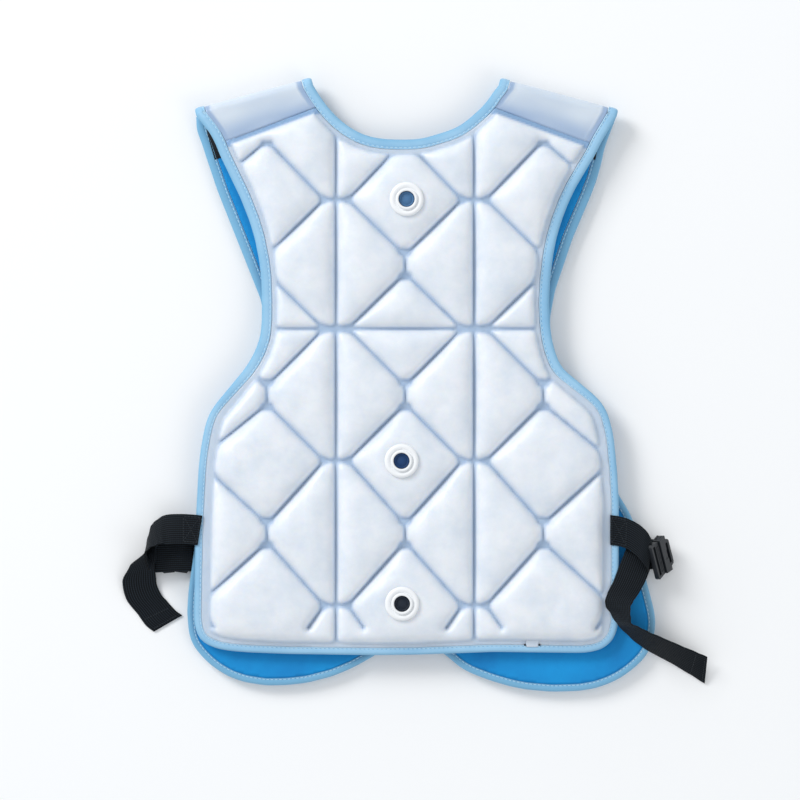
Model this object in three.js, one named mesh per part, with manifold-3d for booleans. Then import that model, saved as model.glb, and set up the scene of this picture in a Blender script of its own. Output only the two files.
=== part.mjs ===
import * as THREE from "three";
import Module from "manifold-3d";
import { mergeVertices } from "three/addons/utils/BufferGeometryUtils.js";

// A cooling vest that lies flat with its back up. Millimetres, +Y to the neck, +Z up.

const wasm = await Module();
wasm.setup();

// Overall sizes of the back as it lies
const backWidth = 427;
const backLength = 578;
const shoulderSpan = 420;
const shoulderHeight = 547;
const shoulderSlope = THREE.MathUtils.degToRad(15);
const neckWidth = 197;
const neckDrop = 62;
const neckShift = 2.5;

// Layers, from the floor up
const gap = 0.3;
const frontPadThickness = 10;
const shellThickness = 1.6;
const torsoGap = 8.1;
const weldThickness = 2;
const padCrown = 14;
const filmThickness = 1.6;
const patchThickness = 1.4;

// Edge tape
const bindingWidth = 10;
const bindingThickness = 5.2;
const bindingChamfer = 1.2;
const bindingOverhang = 0.6;

// Shoulder bands and patches
const bandDepth = 38;
const clothLeg = 4;
const foldClearance = 1.4;
const patchLength = 46;
const patchDepth = 42;

// Quilting of the back pad
const weldMargin = 8;
const padRounding = 9;
const columnPitch = 138;
const diamondHalfHeight = 54;
const grooveWidth = 17;
const grooveFloor = 3.4;
const linkLength = 27;
const stubLength = 24;
const frontPadRounding = 4;

// Valves
const valveDiameter = 34;
const valveHole = 16;
const valveHeight = 5;
const plugHeight = 2;
const valveSides = 20;

// Webbing and buckles
const webWidth = 30;
const webThickness = 1.6;
const strapHeight = 126;
const strapReach = 100;
const buckleWidth = 38;
const buckleLength = 36;
const plugShare = 0.36;
const buckleRightThickness = 9;
const buckleLeftThickness = 8;
const buckleChamfer = 1;
const slotWidth = 3.4;
const barWidth = 3;

// Front opening
const closureWidth = 3.4;
const closureClearance = 0.9;

// Fineness of the outlines
const outlineSamples = 260;
const outlineTolerance = 0.5;
const foldSteps = 6;

// Heights that follow from the layers
const frontShellZ = frontPadThickness + gap;
const frontTop = frontShellZ + shellThickness;
const backShellZ = frontTop + torsoGap;
const backPadZ = backShellZ + shellThickness + gap;
const weldZ = backPadZ + weldThickness;
const crownZ = weldZ + padCrown;
const foldZ = (frontTop + backShellZ) / 2;
const clothRadius = torsoGap / 2 + shellThickness / 2;
const filmRadius = torsoGap / 2 + shellThickness + gap + filmThickness / 2;
const bindingRadius = torsoGap / 2 - bindingOverhang + bindingThickness / 2;
const foldReach = bindingRadius + bindingThickness / 2;
const bindingTop = foldZ + foldReach;
const frontBindingTop = foldZ - bindingRadius + bindingThickness / 2;
const frontBindingBase = foldZ - foldReach;
const halfWidth = backWidth / 2;
const openingShare = (closureWidth / 2 + closureClearance) / halfWidth;

// Back sides from the shoulder down: height, left reach, right reach
// (shares of the back's length and of half its width)
const backSides = [
  [0.946, 0.984, 0.984],
  [0.908, 0.913, 0.942],
  [0.860, 0.862, 0.885],
  [0.825, 0.815, 0.824],
  [0.780, 0.759, 0.763],
  [0.725, 0.707, 0.712],
  [0.666, 0.677, 0.684],
  [0.607, 0.670, 0.674],
  [0.554, 0.677, 0.684],
  [0.524, 0.704, 0.703],
  [0.498, 0.745, 0.735],
  [0.467, 0.810, 0.829],
  [0.439, 0.876, 0.915],
  [0.417, 0.917, 0.950],
  [0.382, 0.944, 0.974],
  [0.337, 0.963, 0.988],
  [0.277, 0.974, 1.000],
  [0.190, 0.984, 1.000],
  [0.095, 0.986, 0.998],
  [0.054, 0.986, 0.998],
];

// Back hem from left to right: across, height
const backHem = [
  [-0.965, 0.029],
  [-0.918, 0.016],
  [-0.838, 0.008],
  [-0.571, 0.002],
  [0.000, 0.000],
  [0.379, 0.005],
  [0.632, 0.005],
  [0.848, 0.004],
  [0.930, 0.012],
  [0.978, 0.029],
];

// Neck edge from right to left: across in half neck widths, depth in neck drops
const neckEdge = [
  [1.000, 0.000],
  [0.888, 0.190],
  [0.797, 0.400],
  [0.665, 0.610],
  [0.513, 0.790],
  [0.330, 0.900],
  [0.127, 0.985],
  [-0.080, 1.000],
  [-0.289, 0.980],
  [-0.472, 0.900],
  [-0.665, 0.710],
  [-0.817, 0.460],
  [-0.909, 0.250],
  [-1.000, 0.000],
];

// Front neckline and opening from the neck down: across, height (left panel, mirrored on the right)
const frontOpening = [
  [0.389, 0.943],
  [0.281, 0.856],
  [0.141, 0.779],
  [0.050, 0.737],
  [openingShare, 0.700],
  [openingShare, 0.614],
  [openingShare, 0.355],
  [openingShare, 0.115],
];

// Left front from the foot of the opening round the flap and up to the shoulder: across, height
const leftFront = [
  [-0.022, 0.062],
  [-0.094, 0.012],
  [-0.211, -0.017],
  [-0.337, -0.038],
  [-0.464, -0.050],
  [-0.571, -0.054],
  [-0.665, -0.054],
  [-0.768, -0.047],
  [-0.848, -0.035],
  [-0.937, -0.010],
  [-1.002, 0.021],
  [-1.021, 0.054],
  [-1.021, 0.092],
  [-0.998, 0.164],
  [-0.970, 0.234],
  [-0.946, 0.303],
  [-0.927, 0.372],
  [-0.900, 0.412],
  [-0.843, 0.441],
  [-0.782, 0.467],
  [-0.726, 0.498],
  [-0.680, 0.545],
  [-0.670, 0.604],
  [-0.703, 0.637],
  [-0.745, 0.676],
  [-0.792, 0.721],
  [-0.838, 0.766],
  [-0.881, 0.804],
  [-0.927, 0.853],
  [-0.965, 0.908],
];

// Right front from the shoulder down, round the flap to the foot of the opening: across, height
const rightFront = [
  [0.945, 0.891],
  [0.904, 0.827],
  [0.838, 0.765],
  [0.787, 0.721],
  [0.735, 0.666],
  [0.698, 0.621],
  [0.679, 0.571],
  [0.689, 0.528],
  [0.731, 0.490],
  [0.810, 0.460],
  [0.888, 0.427],
  [0.930, 0.386],
  [0.952, 0.345],
  [0.969, 0.306],
  [1.002, 0.277],
  [1.044, 0.253],
  [1.077, 0.225],
  [1.101, 0.190],
  [1.133, 0.128],
  [1.157, 0.097],
  [1.176, 0.052],
  [1.148, 0.007],
  [1.096, -0.017],
  [1.002, -0.043],
  [0.885, -0.060],
  [0.754, -0.065],
  [0.628, -0.064],
  [0.506, -0.057],
  [0.379, -0.043],
  [0.272, -0.026],
  [0.192, -0.002],
  [0.094, 0.026],
  [0.022, 0.069],
];

// Star rows of the quilting, from the neck down: height as a share of the back's length,
// whether a weld runs across at the row, and whether the diamonds close below it
const starRows = [
  { height: 0.787, across: false, closed: true },
  { height: 0.564, across: true, closed: true },
  { height: 0.336, across: false, closed: true },
  { height: 0.090, across: false, closed: false },
];

// Valves: star row, shift to the side
const valves = [
  { row: 0, shift: 1.5 },
  { row: 2, shift: -3.5 },
  { row: 3, shift: -3 },
];

// Heights at which the webbing's middle lies on what carries it
const onBinding = bindingTop + gap + webThickness / 2;
const onFlap = frontBindingTop + gap + webThickness / 2;
const underFlap = frontBindingBase - gap - webThickness / 2;
const onFloor = gap + webThickness / 2;
const onBuckle = onFloor + buckleLeftThickness + gap;

// Webbing routes: out from the panel's edge and up the vest, as shares of the strap's reach,
// height of the middle, heading of the width and its roll, in degrees
const strapRightBack = [
  [-0.135, -0.01, onBinding, 90, 0],
  [-0.015, -0.02, onBinding, 90, 0],
  [0.110, -0.07, onBinding + 2, 88, 0],
  [0.200, -0.15, onBinding + 5.5, 87, 0],
  [0.260, -0.22, onBinding + 8.3, 88, 0],
];
const strapRightTail = [
  [0.205, -0.28, onBinding - 5.5, -27, 0],
  [0.160, -0.44, onBinding - 1, -27, 0],
  [0.085, -0.575, onBinding + 0.6, -27, 0],
  [0.010, -0.69, onBinding + 6.5, -22, 16],
  [-0.005, -0.79, onBinding + 9.5, -10, 28],
  [0.030, -0.89, onBinding + 11, 8, 36],
  [0.105, -0.965, onBinding + 10.5, 24, 40],
  [0.190, -1.03, onFlap + 17, 33, 42],
  [0.315, -1.12, onFlap + 12, 42, 42],
  [0.450, -1.19, onFlap + 9, 50, 41],
  [0.585, -1.26, onFlap + 2, 52, 38],
  [0.720, -1.335, onFloor + 9, 55, 33],
  [0.885, -1.42, onFloor + 7, 62, 26],
];
const strapRightFront = [
  [0.155, -0.26, underFlap, 90, 0],
  [0.250, -0.26, underFlap - 0.6, 90, 0],
  [0.350, -0.26, onFloor + 1.8, 90, 0],
  [0.445, -0.26, onFloor + 0.4, 90, 0],
];
const strapLeftBack = [
  [-0.120, -0.01, onBinding, 90, 0],
  [0.000, -0.01, onBinding, 90, 0],
  [0.110, 0.00, onBinding - 0.8, 90, 0],
  [0.250, 0.00, onBinding - 3.4, 92, 0],
  [0.370, -0.025, onBinding - 7.5, 84, 0],
  [0.455, -0.085, onBinding - 13.5, 74, 0],
];
const strapLeftTail = [
  [0.480, -0.275, onBuckle, 8, 0],
  [0.510, -0.350, onBuckle, 0, 0],
  [0.540, -0.430, onBuckle, -3, 0],
  [0.550, -0.520, onFloor + 5, 0, 0],
  [0.545, -0.630, onFloor + 1.4, 10, 0],
  [0.480, -0.740, onFloor, 26, 0],
  [0.380, -0.850, onFloor, 31, 0],
  [0.285, -0.955, onFloor, 32, 0],
];
const strapLeftFront = [
  [-0.015, -0.26, underFlap, 90, 0],
  [0.050, -0.26, underFlap - 0.3, 90, 0],
  [0.074, -0.26, underFlap - 0.6, 90, 0],
];

// Buckles: place out and up as shares of the strap's reach, height of the middle, tilt
const buckleRight = { out: 0.41, up: -0.26, z: 19.4, tilt: 60, thickness: buckleRightThickness };
const buckleLeft = {
  out: 0.26,
  up: -0.26,
  z: onFloor - webThickness / 2 + buckleLeftThickness / 2,
  tilt: 0,
  thickness: buckleLeftThickness,
};

// Meshes and booleans
function material(color, roughness, metalness = 0) {
  return new THREE.MeshStandardMaterial({ color, roughness, metalness });
}

function positionOnly(geometry) {
  const bare = geometry.clone();
  bare.deleteAttribute("normal");
  bare.deleteAttribute("uv");
  return mergeVertices(bare, 1e-4);
}

function toSolid(geometry) {
  const bare = positionOnly(geometry);
  return new wasm.Manifold(new wasm.Mesh({
    numProp: 3,
    vertProperties: new Float32Array(bare.attributes.position.array),
    triVerts: new Uint32Array(bare.index.array),
  }));
}

function toGeometry(solid) {
  const mesh = solid.getMesh();
  const geometry = new THREE.BufferGeometry();
  geometry.setAttribute("position", new THREE.BufferAttribute(mesh.vertProperties, 3));
  geometry.setIndex(new THREE.BufferAttribute(mesh.triVerts, 1));
  return geometry;
}

function loft(rings) {
  const sides = rings[0].length;
  const positions = rings.flat().flatMap((p) => [p.x, p.y, p.z]);
  const index = [];
  for (let k = 0; k + 1 < rings.length; k += 1) {
    for (let i = 0; i < sides; i += 1) {
      const a = k * sides + i;
      const b = k * sides + (i + 1) % sides;
      index.push(a, b, b + sides, a, b + sides, a + sides);
    }
  }
  const end = (rings.length - 1) * sides;
  for (let i = 1; i + 1 < sides; i += 1) {
    index.push(0, i + 1, i);
    index.push(end, end + i, end + i + 1);
  }
  const geometry = new THREE.BufferGeometry();
  geometry.setAttribute("position", new THREE.Float32BufferAttribute(positions, 3));
  geometry.setIndex(index);
  return geometry;
}

// Outlines in the plane
function smoothLine(points) {
  const curve = new THREE.CatmullRomCurve3(
    points.map((p) => new THREE.Vector3(p.x, p.y, 0)), false, "centripetal");
  const fine = curve.getSpacedPoints(outlineSamples).map((p) => new THREE.Vector2(p.x, p.y));
  return simplified(fine);
}

function simplified(points) {
  const first = points[0];
  const last = points[points.length - 1];
  let farthest = 0;
  let split = 0;
  points.forEach((p, i) => {
    const distance = distanceToSegment(p, first, last);
    if (distance > farthest) {
      farthest = distance;
      split = i;
    }
  });
  if (farthest < outlineTolerance) return [first, last];
  return [...simplified(points.slice(0, split + 1)).slice(0, -1), ...simplified(points.slice(split))];
}

function distanceToSegment(p, a, b) {
  const along = b.clone().sub(a);
  const share = THREE.MathUtils.clamp(p.clone().sub(a).dot(along) / along.lengthSq(), 0, 1);
  return p.distanceTo(a.clone().addScaledVector(along, share));
}

function leftNormal(a, b) {
  return new THREE.Vector2(a.y - b.y, b.x - a.x).normalize();
}

// Moves a line to the left of its travel, or to the right where the distance is negative,
// and drops what has come nearer to the line than that distance
function inset(points, distance) {
  const last = points.length - 1;
  const moved = points.map((p, i) => {
    const before = i > 0 ? leftNormal(points[i - 1], p) : leftNormal(p, points[1]);
    const after = i < last ? leftNormal(p, points[i + 1]) : before;
    const middle = before.clone().add(after).normalize();
    return p.clone().addScaledVector(middle, distance / middle.dot(after));
  });
  const reach = Math.abs(distance) - 0.05;
  return moved.filter((p) => points.slice(1).every(
    (b, i) => distanceToSegment(p, points[i], b) > reach));
}

// Each shoulder's fold: its outer corner, the way along the fold to the neck, the way down the vest
function shoulder(side) {
  return {
    corner: new THREE.Vector2(side * shoulderSpan / 2, shoulderHeight),
    along: new THREE.Vector2(-side * Math.cos(shoulderSlope), Math.sin(shoulderSlope)),
    down: new THREE.Vector2(-side * Math.sin(shoulderSlope), -Math.cos(shoulderSlope)),
  };
}

function depthBelowFold(p) {
  const fold = shoulder(p.x < 0 ? -1 : 1);
  return p.clone().sub(fold.corner).dot(fold.down);
}

function crossing(a, b, depth) {
  const share = (depth - depthBelowFold(a)) / (depthBelowFold(b) - depthBelowFold(a));
  return a.clone().lerp(b, share);
}

// Cuts both ends of a line where they come up to a depth below the shoulder fold
function trimmed(points, depth) {
  const inside = points.map((p) => depthBelowFold(p) > depth);
  const first = Math.max(inside.indexOf(true), 1);
  const last = Math.min(inside.lastIndexOf(true), points.length - 2);
  return [
    crossing(points[first - 1], points[first], depth),
    ...points.slice(first, last + 1),
    crossing(points[last], points[last + 1], depth),
  ];
}

function place(across, height) {
  return new THREE.Vector2(across * halfWidth, height * backLength);
}

const backEdge = smoothLine([
  ...backSides.map(([height, left]) => place(-left, height)),
  ...backHem.map(([across, height]) => place(across, height)),
  ...backSides.toReversed().map(([height, , right]) => place(right, height)),
]);
const backNeck = smoothLine(neckEdge.map(([across, depth]) => new THREE.Vector2(
  neckShift + across * neckWidth / 2, backLength - 1 - depth * neckDrop)));
const edgeAtFold = trimmed(backEdge, foldReach);
const neckAtFold = trimmed(backNeck, foldReach);

const leftEdgeLine = smoothLine([
  neckAtFold.at(-1),
  ...frontOpening.map(([across, height]) => place(-across, height)),
  ...leftFront.map(([across, height]) => place(across, height)),
  edgeAtFold[0],
]);
const rightEdgeLine = smoothLine([
  edgeAtFold.at(-1),
  ...rightFront.map(([across, height]) => place(across, height)),
  ...frontOpening.toReversed().map(([across, height]) => place(across, height)),
  neckAtFold[0],
]);

function plate(points, base, thickness) {
  const geometry = new THREE.ExtrudeGeometry(new THREE.Shape(points), {
    depth: thickness,
    bevelEnabled: false,
  });
  return geometry.translate(0, 0, base);
}

function backOutline(distance, depth) {
  return [...trimmed(inset(backEdge, distance), depth), ...trimmed(inset(backNeck, distance), depth)];
}

function frontOutline(line, distance, depth) {
  return trimmed(inset(line, -distance), depth);
}

// Tape along an edge, over the fold where it comes to a shoulder
function backStation(p) {
  return {
    point: new THREE.Vector3(p.x, p.y, foldZ + bindingRadius),
    normal: new THREE.Vector3(0, 0, 1),
  };
}

function frontStation(p) {
  return {
    point: new THREE.Vector3(p.x, p.y, foldZ - bindingRadius),
    normal: new THREE.Vector3(0, 0, -1),
  };
}

function foldStations(p) {
  const fold = shoulder(p.x < 0 ? -1 : 1);
  const stations = [];
  for (let step = 1; step < foldSteps; step += 1) {
    const angle = Math.PI * step / foldSteps;
    const normal = new THREE.Vector3(
      -fold.down.x * Math.sin(angle), -fold.down.y * Math.sin(angle), Math.cos(angle));
    const point = new THREE.Vector3(p.x, p.y, foldZ).addScaledVector(normal, bindingRadius);
    stations.push({ point, normal });
  }
  return [...stations, frontStation(p)];
}

function tape(stations) {
  const half = bindingThickness / 2;
  const c = bindingChamfer;
  const w = bindingWidth;
  const section = [
    [c, -half], [w - c, -half], [w, -half + c], [w, half - c],
    [w - c, half], [c, half], [0, half - c], [0, -half + c],
  ];
  const rings = stations.map(({ point, normal }, i) => {
    const before = stations[Math.max(i - 1, 0)].point;
    const after = stations[Math.min(i + 1, stations.length - 1)].point;
    const ahead = after.clone().sub(point).normalize();
    const behind = point.clone().sub(before).normalize();
    const travel = i === 0 ? ahead : i === stations.length - 1 ? behind : ahead.add(behind);
    const across = normal.clone().cross(travel).normalize();
    return section.map(([out, up]) => point.clone()
      .addScaledVector(across, out).addScaledVector(normal, up));
  });
  return loft(rings);
}

function backTape(line) {
  return tape([
    ...foldStations(line[0]).reverse(),
    ...line.map(backStation),
    ...foldStations(line.at(-1)),
  ]);
}

function frontTape(line) {
  return tape(trimmed(line, foldReach + gap).map(frontStation));
}

// Places along a shoulder's fold, nearest and farthest, where lines pass a depth below it
function spanAt(lines, side, depth) {
  const fold = shoulder(side);
  const found = [];
  for (const line of lines) {
    for (let i = 1; i < line.length; i += 1) {
      const [a, b] = [line[i - 1], line[i]];
      const sameSide = Math.sign(a.x) === side && Math.sign(b.x) === side;
      if (sameSide && (depthBelowFold(a) <= depth) !== (depthBelowFold(b) <= depth)) {
        found.push(crossing(a, b, depth).sub(fold.corner).dot(fold.along));
      }
    }
  }
  return [Math.min(...found), Math.max(...found)];
}

// Sheet folded over a shoulder, from the armhole tape to the neck tape
function foldedSheet(side, frontLine, radius, thickness, legDepth) {
  const fold = shoulder(side);
  const outer = radius + thickness / 2;
  const inner = radius - thickness / 2;
  const profile = new THREE.Shape();
  profile.moveTo(legDepth, inner);
  profile.lineTo(legDepth, outer);
  profile.lineTo(foldReach, outer);
  profile.absarc(foldReach, 0, outer, Math.PI / 2, Math.PI * 1.5, false);
  profile.lineTo(legDepth, -outer);
  profile.lineTo(legDepth, -inner);
  profile.lineTo(foldReach, -inner);
  profile.absarc(foldReach, 0, inner, Math.PI * 1.5, Math.PI / 2, true);
  const geometry = new THREE.ExtrudeGeometry(profile, {
    depth: 1,
    bevelEnabled: false,
    curveSegments: foldSteps,
  });
  const clear = bindingWidth + gap;
  const backLines = [inset(backEdge, clear), inset(backNeck, clear)];
  const frontLines = [inset(frontLine, -clear)];
  const onBack = [foldReach + 1, legDepth].map((depth) => spanAt(backLines, side, depth));
  const onFront = [foldReach + clothLeg + 1, Math.max(legDepth, foldReach + clothLeg + 1)].map(
    (depth) => spanAt(frontLines, side, depth));
  const position = geometry.attributes.position;
  for (let i = 0; i < position.count; i += 1) {
    const depth = position.getX(i);
    const share = Math.max(depth - foldReach, 0) / (legDepth - foldReach);
    const height = position.getY(i);
    const underside = (1 - height / Math.hypot(height, Math.max(foldReach - depth, 0))) / 2;
    const [from, to] = [0, 1].map((end) => THREE.MathUtils.lerp(
      THREE.MathUtils.lerp(onBack[0][end], onBack[1][end], share),
      THREE.MathUtils.lerp(onFront[0][end], onFront[1][end], share),
      underside));
    const along = THREE.MathUtils.lerp(
      from + foldClearance, to - foldClearance, position.getZ(i));
    const p = fold.corner.clone().addScaledVector(fold.along, along).addScaledVector(fold.down, depth);
    position.setXYZ(i, p.x, p.y, foldZ + height);
  }
  return facingOut(geometry);
}

// Turns a closed mesh right side out if its faces point in
function facingOut(geometry) {
  const bare = positionOnly(geometry);
  const [a, b, c] = [0, 1, 2].map(() => new THREE.Vector3());
  const index = bare.index.array;
  let volume = 0;
  for (let i = 0; i < index.length; i += 3) {
    a.fromBufferAttribute(bare.attributes.position, index[i]);
    b.fromBufferAttribute(bare.attributes.position, index[i + 1]);
    c.fromBufferAttribute(bare.attributes.position, index[i + 2]);
    volume += a.dot(b.cross(c));
  }
  if (volume < 0) {
    for (let i = 0; i < index.length; i += 3) [index[i], index[i + 1]] = [index[i + 1], index[i]];
  }
  return bare;
}

// Quilted pad: a rounded mound on a flat weld margin, with a groove along each weld line
function groove(from, to) {
  const half = grooveWidth / 2;
  const over = crownZ + 1;
  const floor = weldZ + 0.6;
  const shoulderZ = crownZ - padCrown * 0.22;
  const profile = new THREE.Shape([
    new THREE.Vector2(-half, over),
    new THREE.Vector2(-half, crownZ - 0.2),
    new THREE.Vector2(-half * 0.55, shoulderZ),
    new THREE.Vector2(-grooveFloor / 2, floor),
    new THREE.Vector2(grooveFloor / 2, floor),
    new THREE.Vector2(half * 0.55, shoulderZ),
    new THREE.Vector2(half, crownZ - 0.2),
    new THREE.Vector2(half, over),
  ]);
  const length = from.distanceTo(to);
  const geometry = new THREE.ExtrudeGeometry(profile, { depth: length, bevelEnabled: false });
  const travel = to.clone().sub(from).normalize();
  const frame = new THREE.Matrix4().makeBasis(
    new THREE.Vector3(-travel.y, travel.x, 0),
    new THREE.Vector3(0, 0, 1),
    new THREE.Vector3(travel.x, travel.y, 0),
  ).setPosition(from.x, from.y, 0);
  return toSolid(geometry.applyMatrix4(frame));
}

function quiltLines() {
  const lines = [];
  const half = columnPitch / 2;
  const foot = backLength * starRows.at(-1).height - diamondHalfHeight;
  const point = (x, y) => new THREE.Vector2(x, y);
  for (const side of [-1, 1]) lines.push([point(side * half, backLength), point(side * half, foot)]);
  starRows.forEach((row, k) => {
    const level = row.height * backLength;
    if (row.across) lines.push([point(-halfWidth, level), point(halfWidth, level)]);
    for (const column of [-1, 0, 1]) {
      const x = column * columnPitch;
      const top = point(x, level + diamondHalfHeight);
      const bottom = point(x, level - diamondHalfHeight);
      for (const side of [-1, 1]) {
        const corner = point(x + side * half, level);
        lines.push([top, corner]);
        const stub = bottom.clone().sub(corner).setLength(stubLength).add(corner);
        lines.push([corner, row.closed ? bottom : stub]);
      }
      if (k > 0) lines.push([top, point(x, top.y + linkLength)]);
    }
  });
  return lines;
}

function roundedMound(outline, base, height, rounding) {
  const geometry = new THREE.ExtrudeGeometry(new THREE.Shape(outline), {
    depth: weldThickness,
    bevelEnabled: true,
    bevelThickness: height,
    bevelSize: rounding,
    bevelSegments: 3,
  });
  return geometry.translate(0, 0, base - weldThickness);
}

function halfSpaceAbove(z) {
  const size = 4 * backLength;
  return toSolid(new THREE.BoxGeometry(size, size, size).translate(0, 0, z + size / 2));
}

function quiltedPad() {
  const clear = bindingWidth + gap;
  const depth = bandDepth + gap;
  const base = toSolid(plate(backOutline(clear, depth), backPadZ, weldThickness));
  const margin = weldMargin + padRounding;
  const moundOutline = backOutline(clear + margin, depth + margin);
  let mound = toSolid(roundedMound(moundOutline, weldZ, padCrown, padRounding));
  for (const [from, to] of quiltLines()) mound = mound.subtract(groove(from, to));
  mound = mound.intersect(halfSpaceAbove(weldZ - weldThickness / 2));
  return toGeometry(base.add(mound));
}

function frontPad(line) {
  const outline = frontOutline(
    line, bindingWidth + gap + frontPadRounding, bandDepth + gap + frontPadRounding);
  const geometry = new THREE.ExtrudeGeometry(new THREE.Shape(outline), {
    depth: frontPadThickness - 2 * frontPadRounding,
    bevelEnabled: true,
    bevelThickness: frontPadRounding,
    bevelSize: frontPadRounding,
    bevelSegments: 2,
  });
  return geometry.translate(0, 0, frontPadRounding);
}

// Webbing as a flat ribbon along its route
function edgeReach(side) {
  const line = side < 0 ? backEdge : backEdge.toReversed();
  const i = line.findIndex((p) => p.y < strapHeight);
  const share = (line[i - 1].y - strapHeight) / (line[i - 1].y - line[i].y);
  return line[i - 1].clone().lerp(line[i], share).x;
}

function strapPoint(side, out, up, z) {
  return new THREE.Vector3(edgeReach(side) + side * out * strapReach, strapHeight + up * strapReach, z);
}

function ribbon(side, route) {
  const stepsPerRow = 3;
  const curve = new THREE.CatmullRomCurve3(
    route.map(([out, up, z]) => strapPoint(side, out, up, z)), false, "centripetal");
  const steps = (route.length - 1) * stepsPerRow;
  const rings = [];
  for (let i = 0; i <= steps; i += 1) {
    const at = Math.min(i / stepsPerRow, route.length - 1);
    const row = Math.min(Math.floor(at), route.length - 2);
    const angles = [3, 4].map((column) => THREE.MathUtils.degToRad(
      THREE.MathUtils.lerp(route[row][column], route[row + 1][column], at - row)));
    const centre = curve.getPoint(i / steps);
    const travel = curve.getTangent(i / steps);
    const across = new THREE.Vector3(
      Math.cos(angles[0]) * Math.cos(angles[1]),
      Math.sin(angles[0]) * Math.cos(angles[1]),
      Math.sin(angles[1]));
    across.addScaledVector(travel, -across.dot(travel)).normalize();
    const up = travel.clone().cross(across).normalize();
    rings.push([[-1, -1], [1, -1], [1, 1], [-1, 1]].map(([a, b]) => centre.clone()
      .addScaledVector(across, a * webWidth / 2).addScaledVector(up, b * webThickness / 2)));
  }
  return facingOut(loft(rings));
}

// Side-release buckle: a frame with a slot for the webbing and a ribbed body
function bucklePart(from, to, slotSide, thickness) {
  const half = buckleWidth / 2 - buckleChamfer;
  const [low, high] = [from + buckleChamfer, to - buckleChamfer];
  const shape = new THREE.Shape([
    new THREE.Vector2(low, -half + 1),
    new THREE.Vector2(low + 1, -half),
    new THREE.Vector2(high - 1, -half),
    new THREE.Vector2(high, -half + 1),
    new THREE.Vector2(high, half - 1),
    new THREE.Vector2(high - 1, half),
    new THREE.Vector2(low + 1, half),
    new THREE.Vector2(low, half - 1),
  ]);
  const start = slotSide < 0 ? low + barWidth : high - barWidth - slotWidth;
  const reach = webWidth / 2 + gap;
  shape.holes.push(new THREE.Path([
    new THREE.Vector2(start, -reach),
    new THREE.Vector2(start, reach),
    new THREE.Vector2(start + slotWidth, reach),
    new THREE.Vector2(start + slotWidth, -reach),
  ]));
  const geometry = new THREE.ExtrudeGeometry(shape, {
    depth: thickness - 2 * buckleChamfer,
    bevelEnabled: true,
    bevelThickness: buckleChamfer,
    bevelSize: buckleChamfer,
    bevelSegments: 1,
  });
  return geometry.translate(0, 0, buckleChamfer - thickness / 2);
}

function buckleFrame(side, buckle) {
  const tilt = THREE.MathUtils.degToRad(buckle.tilt);
  const group = new THREE.Group();
  group.position.copy(strapPoint(side, buckle.out, buckle.up, buckle.z));
  group.rotation.y = side > 0 ? tilt : Math.PI - tilt;
  return group;
}

// The finished vest
const finishes = {
  film: material(0xeef3f8, 0.35),
  band: material(0xaebfd2, 0.3),
  cloth: material(0x1593d4, 0.8),
  tape: material(0x9fcdec, 0.7),
  webbing: material(0x0d1318, 0.75),
  patch: material(0x14161a, 0.95),
  buckle: material(0x3f474f, 0.45),
  valve: material(0xf2f4f6, 0.35),
};
const plugFinishes = [0x4a7aa5, 0x0b3a6b, 0x0a1a2b].map((color) => material(color, 0.3));

const vest = new THREE.Group();
vest.name = "cooling_vest";

function addTo(parent, name, geometry, finish) {
  const mesh = new THREE.Mesh(geometry, finish);
  mesh.name = name;
  parent.add(mesh);
  return mesh;
}

const inside = bindingWidth + gap;
const shellDepth = foldReach + clothLeg + gap;
addTo(vest, "back_shell", plate(backOutline(inside, shellDepth), backShellZ, shellThickness),
  finishes.cloth);
addTo(vest, "back_pad", quiltedPad(), finishes.film);
addTo(vest, "back_edge_binding", backTape(edgeAtFold), finishes.tape);
addTo(vest, "neck_binding", backTape(neckAtFold), finishes.tape);

for (const [name, side, line] of [["left", -1, leftEdgeLine], ["right", 1, rightEdgeLine]]) {
  addTo(vest, `shoulder_film_${name}`,
    foldedSheet(side, line, filmRadius, filmThickness, bandDepth), finishes.band);
  addTo(vest, `shoulder_cloth_${name}`,
    foldedSheet(side, line, clothRadius, shellThickness, foldReach + clothLeg), finishes.cloth);
  addTo(vest, `front_shell_${name}`,
    plate(frontOutline(line, inside, shellDepth), frontShellZ, shellThickness), finishes.cloth);
  addTo(vest, `front_pad_${name}`, frontPad(line), finishes.film);
  addTo(vest, `front_binding_${name}`, frontTape(line), finishes.tape);
  addTo(vest, `shoulder_patch_${name}`, shoulderPatch(side), finishes.patch);
}

function shoulderPatch(side) {
  const fold = shoulder(side);
  const from = bindingWidth + 2 * gap + 3;
  const corners = [[0, 0], [1, 0], [1, 1], [0, 1]].map(([a, b]) => fold.corner.clone()
    .addScaledVector(fold.along, from + a * patchLength)
    .addScaledVector(fold.down, shellDepth + 2 + b * patchDepth));
  return plate(corners, frontTop + gap, patchThickness);
}

const closureTop = 0.66 * backLength;
const closureFoot = 0.125 * backLength;
const closure = new THREE.BoxGeometry(closureWidth, closureTop - closureFoot, bindingThickness);
closure.translate(0, (closureTop + closureFoot) / 2, foldZ - bindingRadius);
addTo(vest, "front_closure", closure, finishes.tape);

const valveProfile = [
  [valveHole / 2, 0],
  [valveDiameter / 2, 0],
  [valveDiameter / 2, valveHeight * 0.35],
  [valveDiameter / 2 - 1.6, valveHeight * 0.68],
  [valveHole / 2 + 4.2, valveHeight * 0.74],
  [valveHole / 2 + 2.2, valveHeight * 0.74],
  [valveHole / 2 + 1.9, valveHeight],
  [valveHole / 2 + 0.6, valveHeight],
  [valveHole / 2, valveHeight * 0.88],
  [valveHole / 2, 0],
].map(([radius, height]) => new THREE.Vector2(radius, height));

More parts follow.
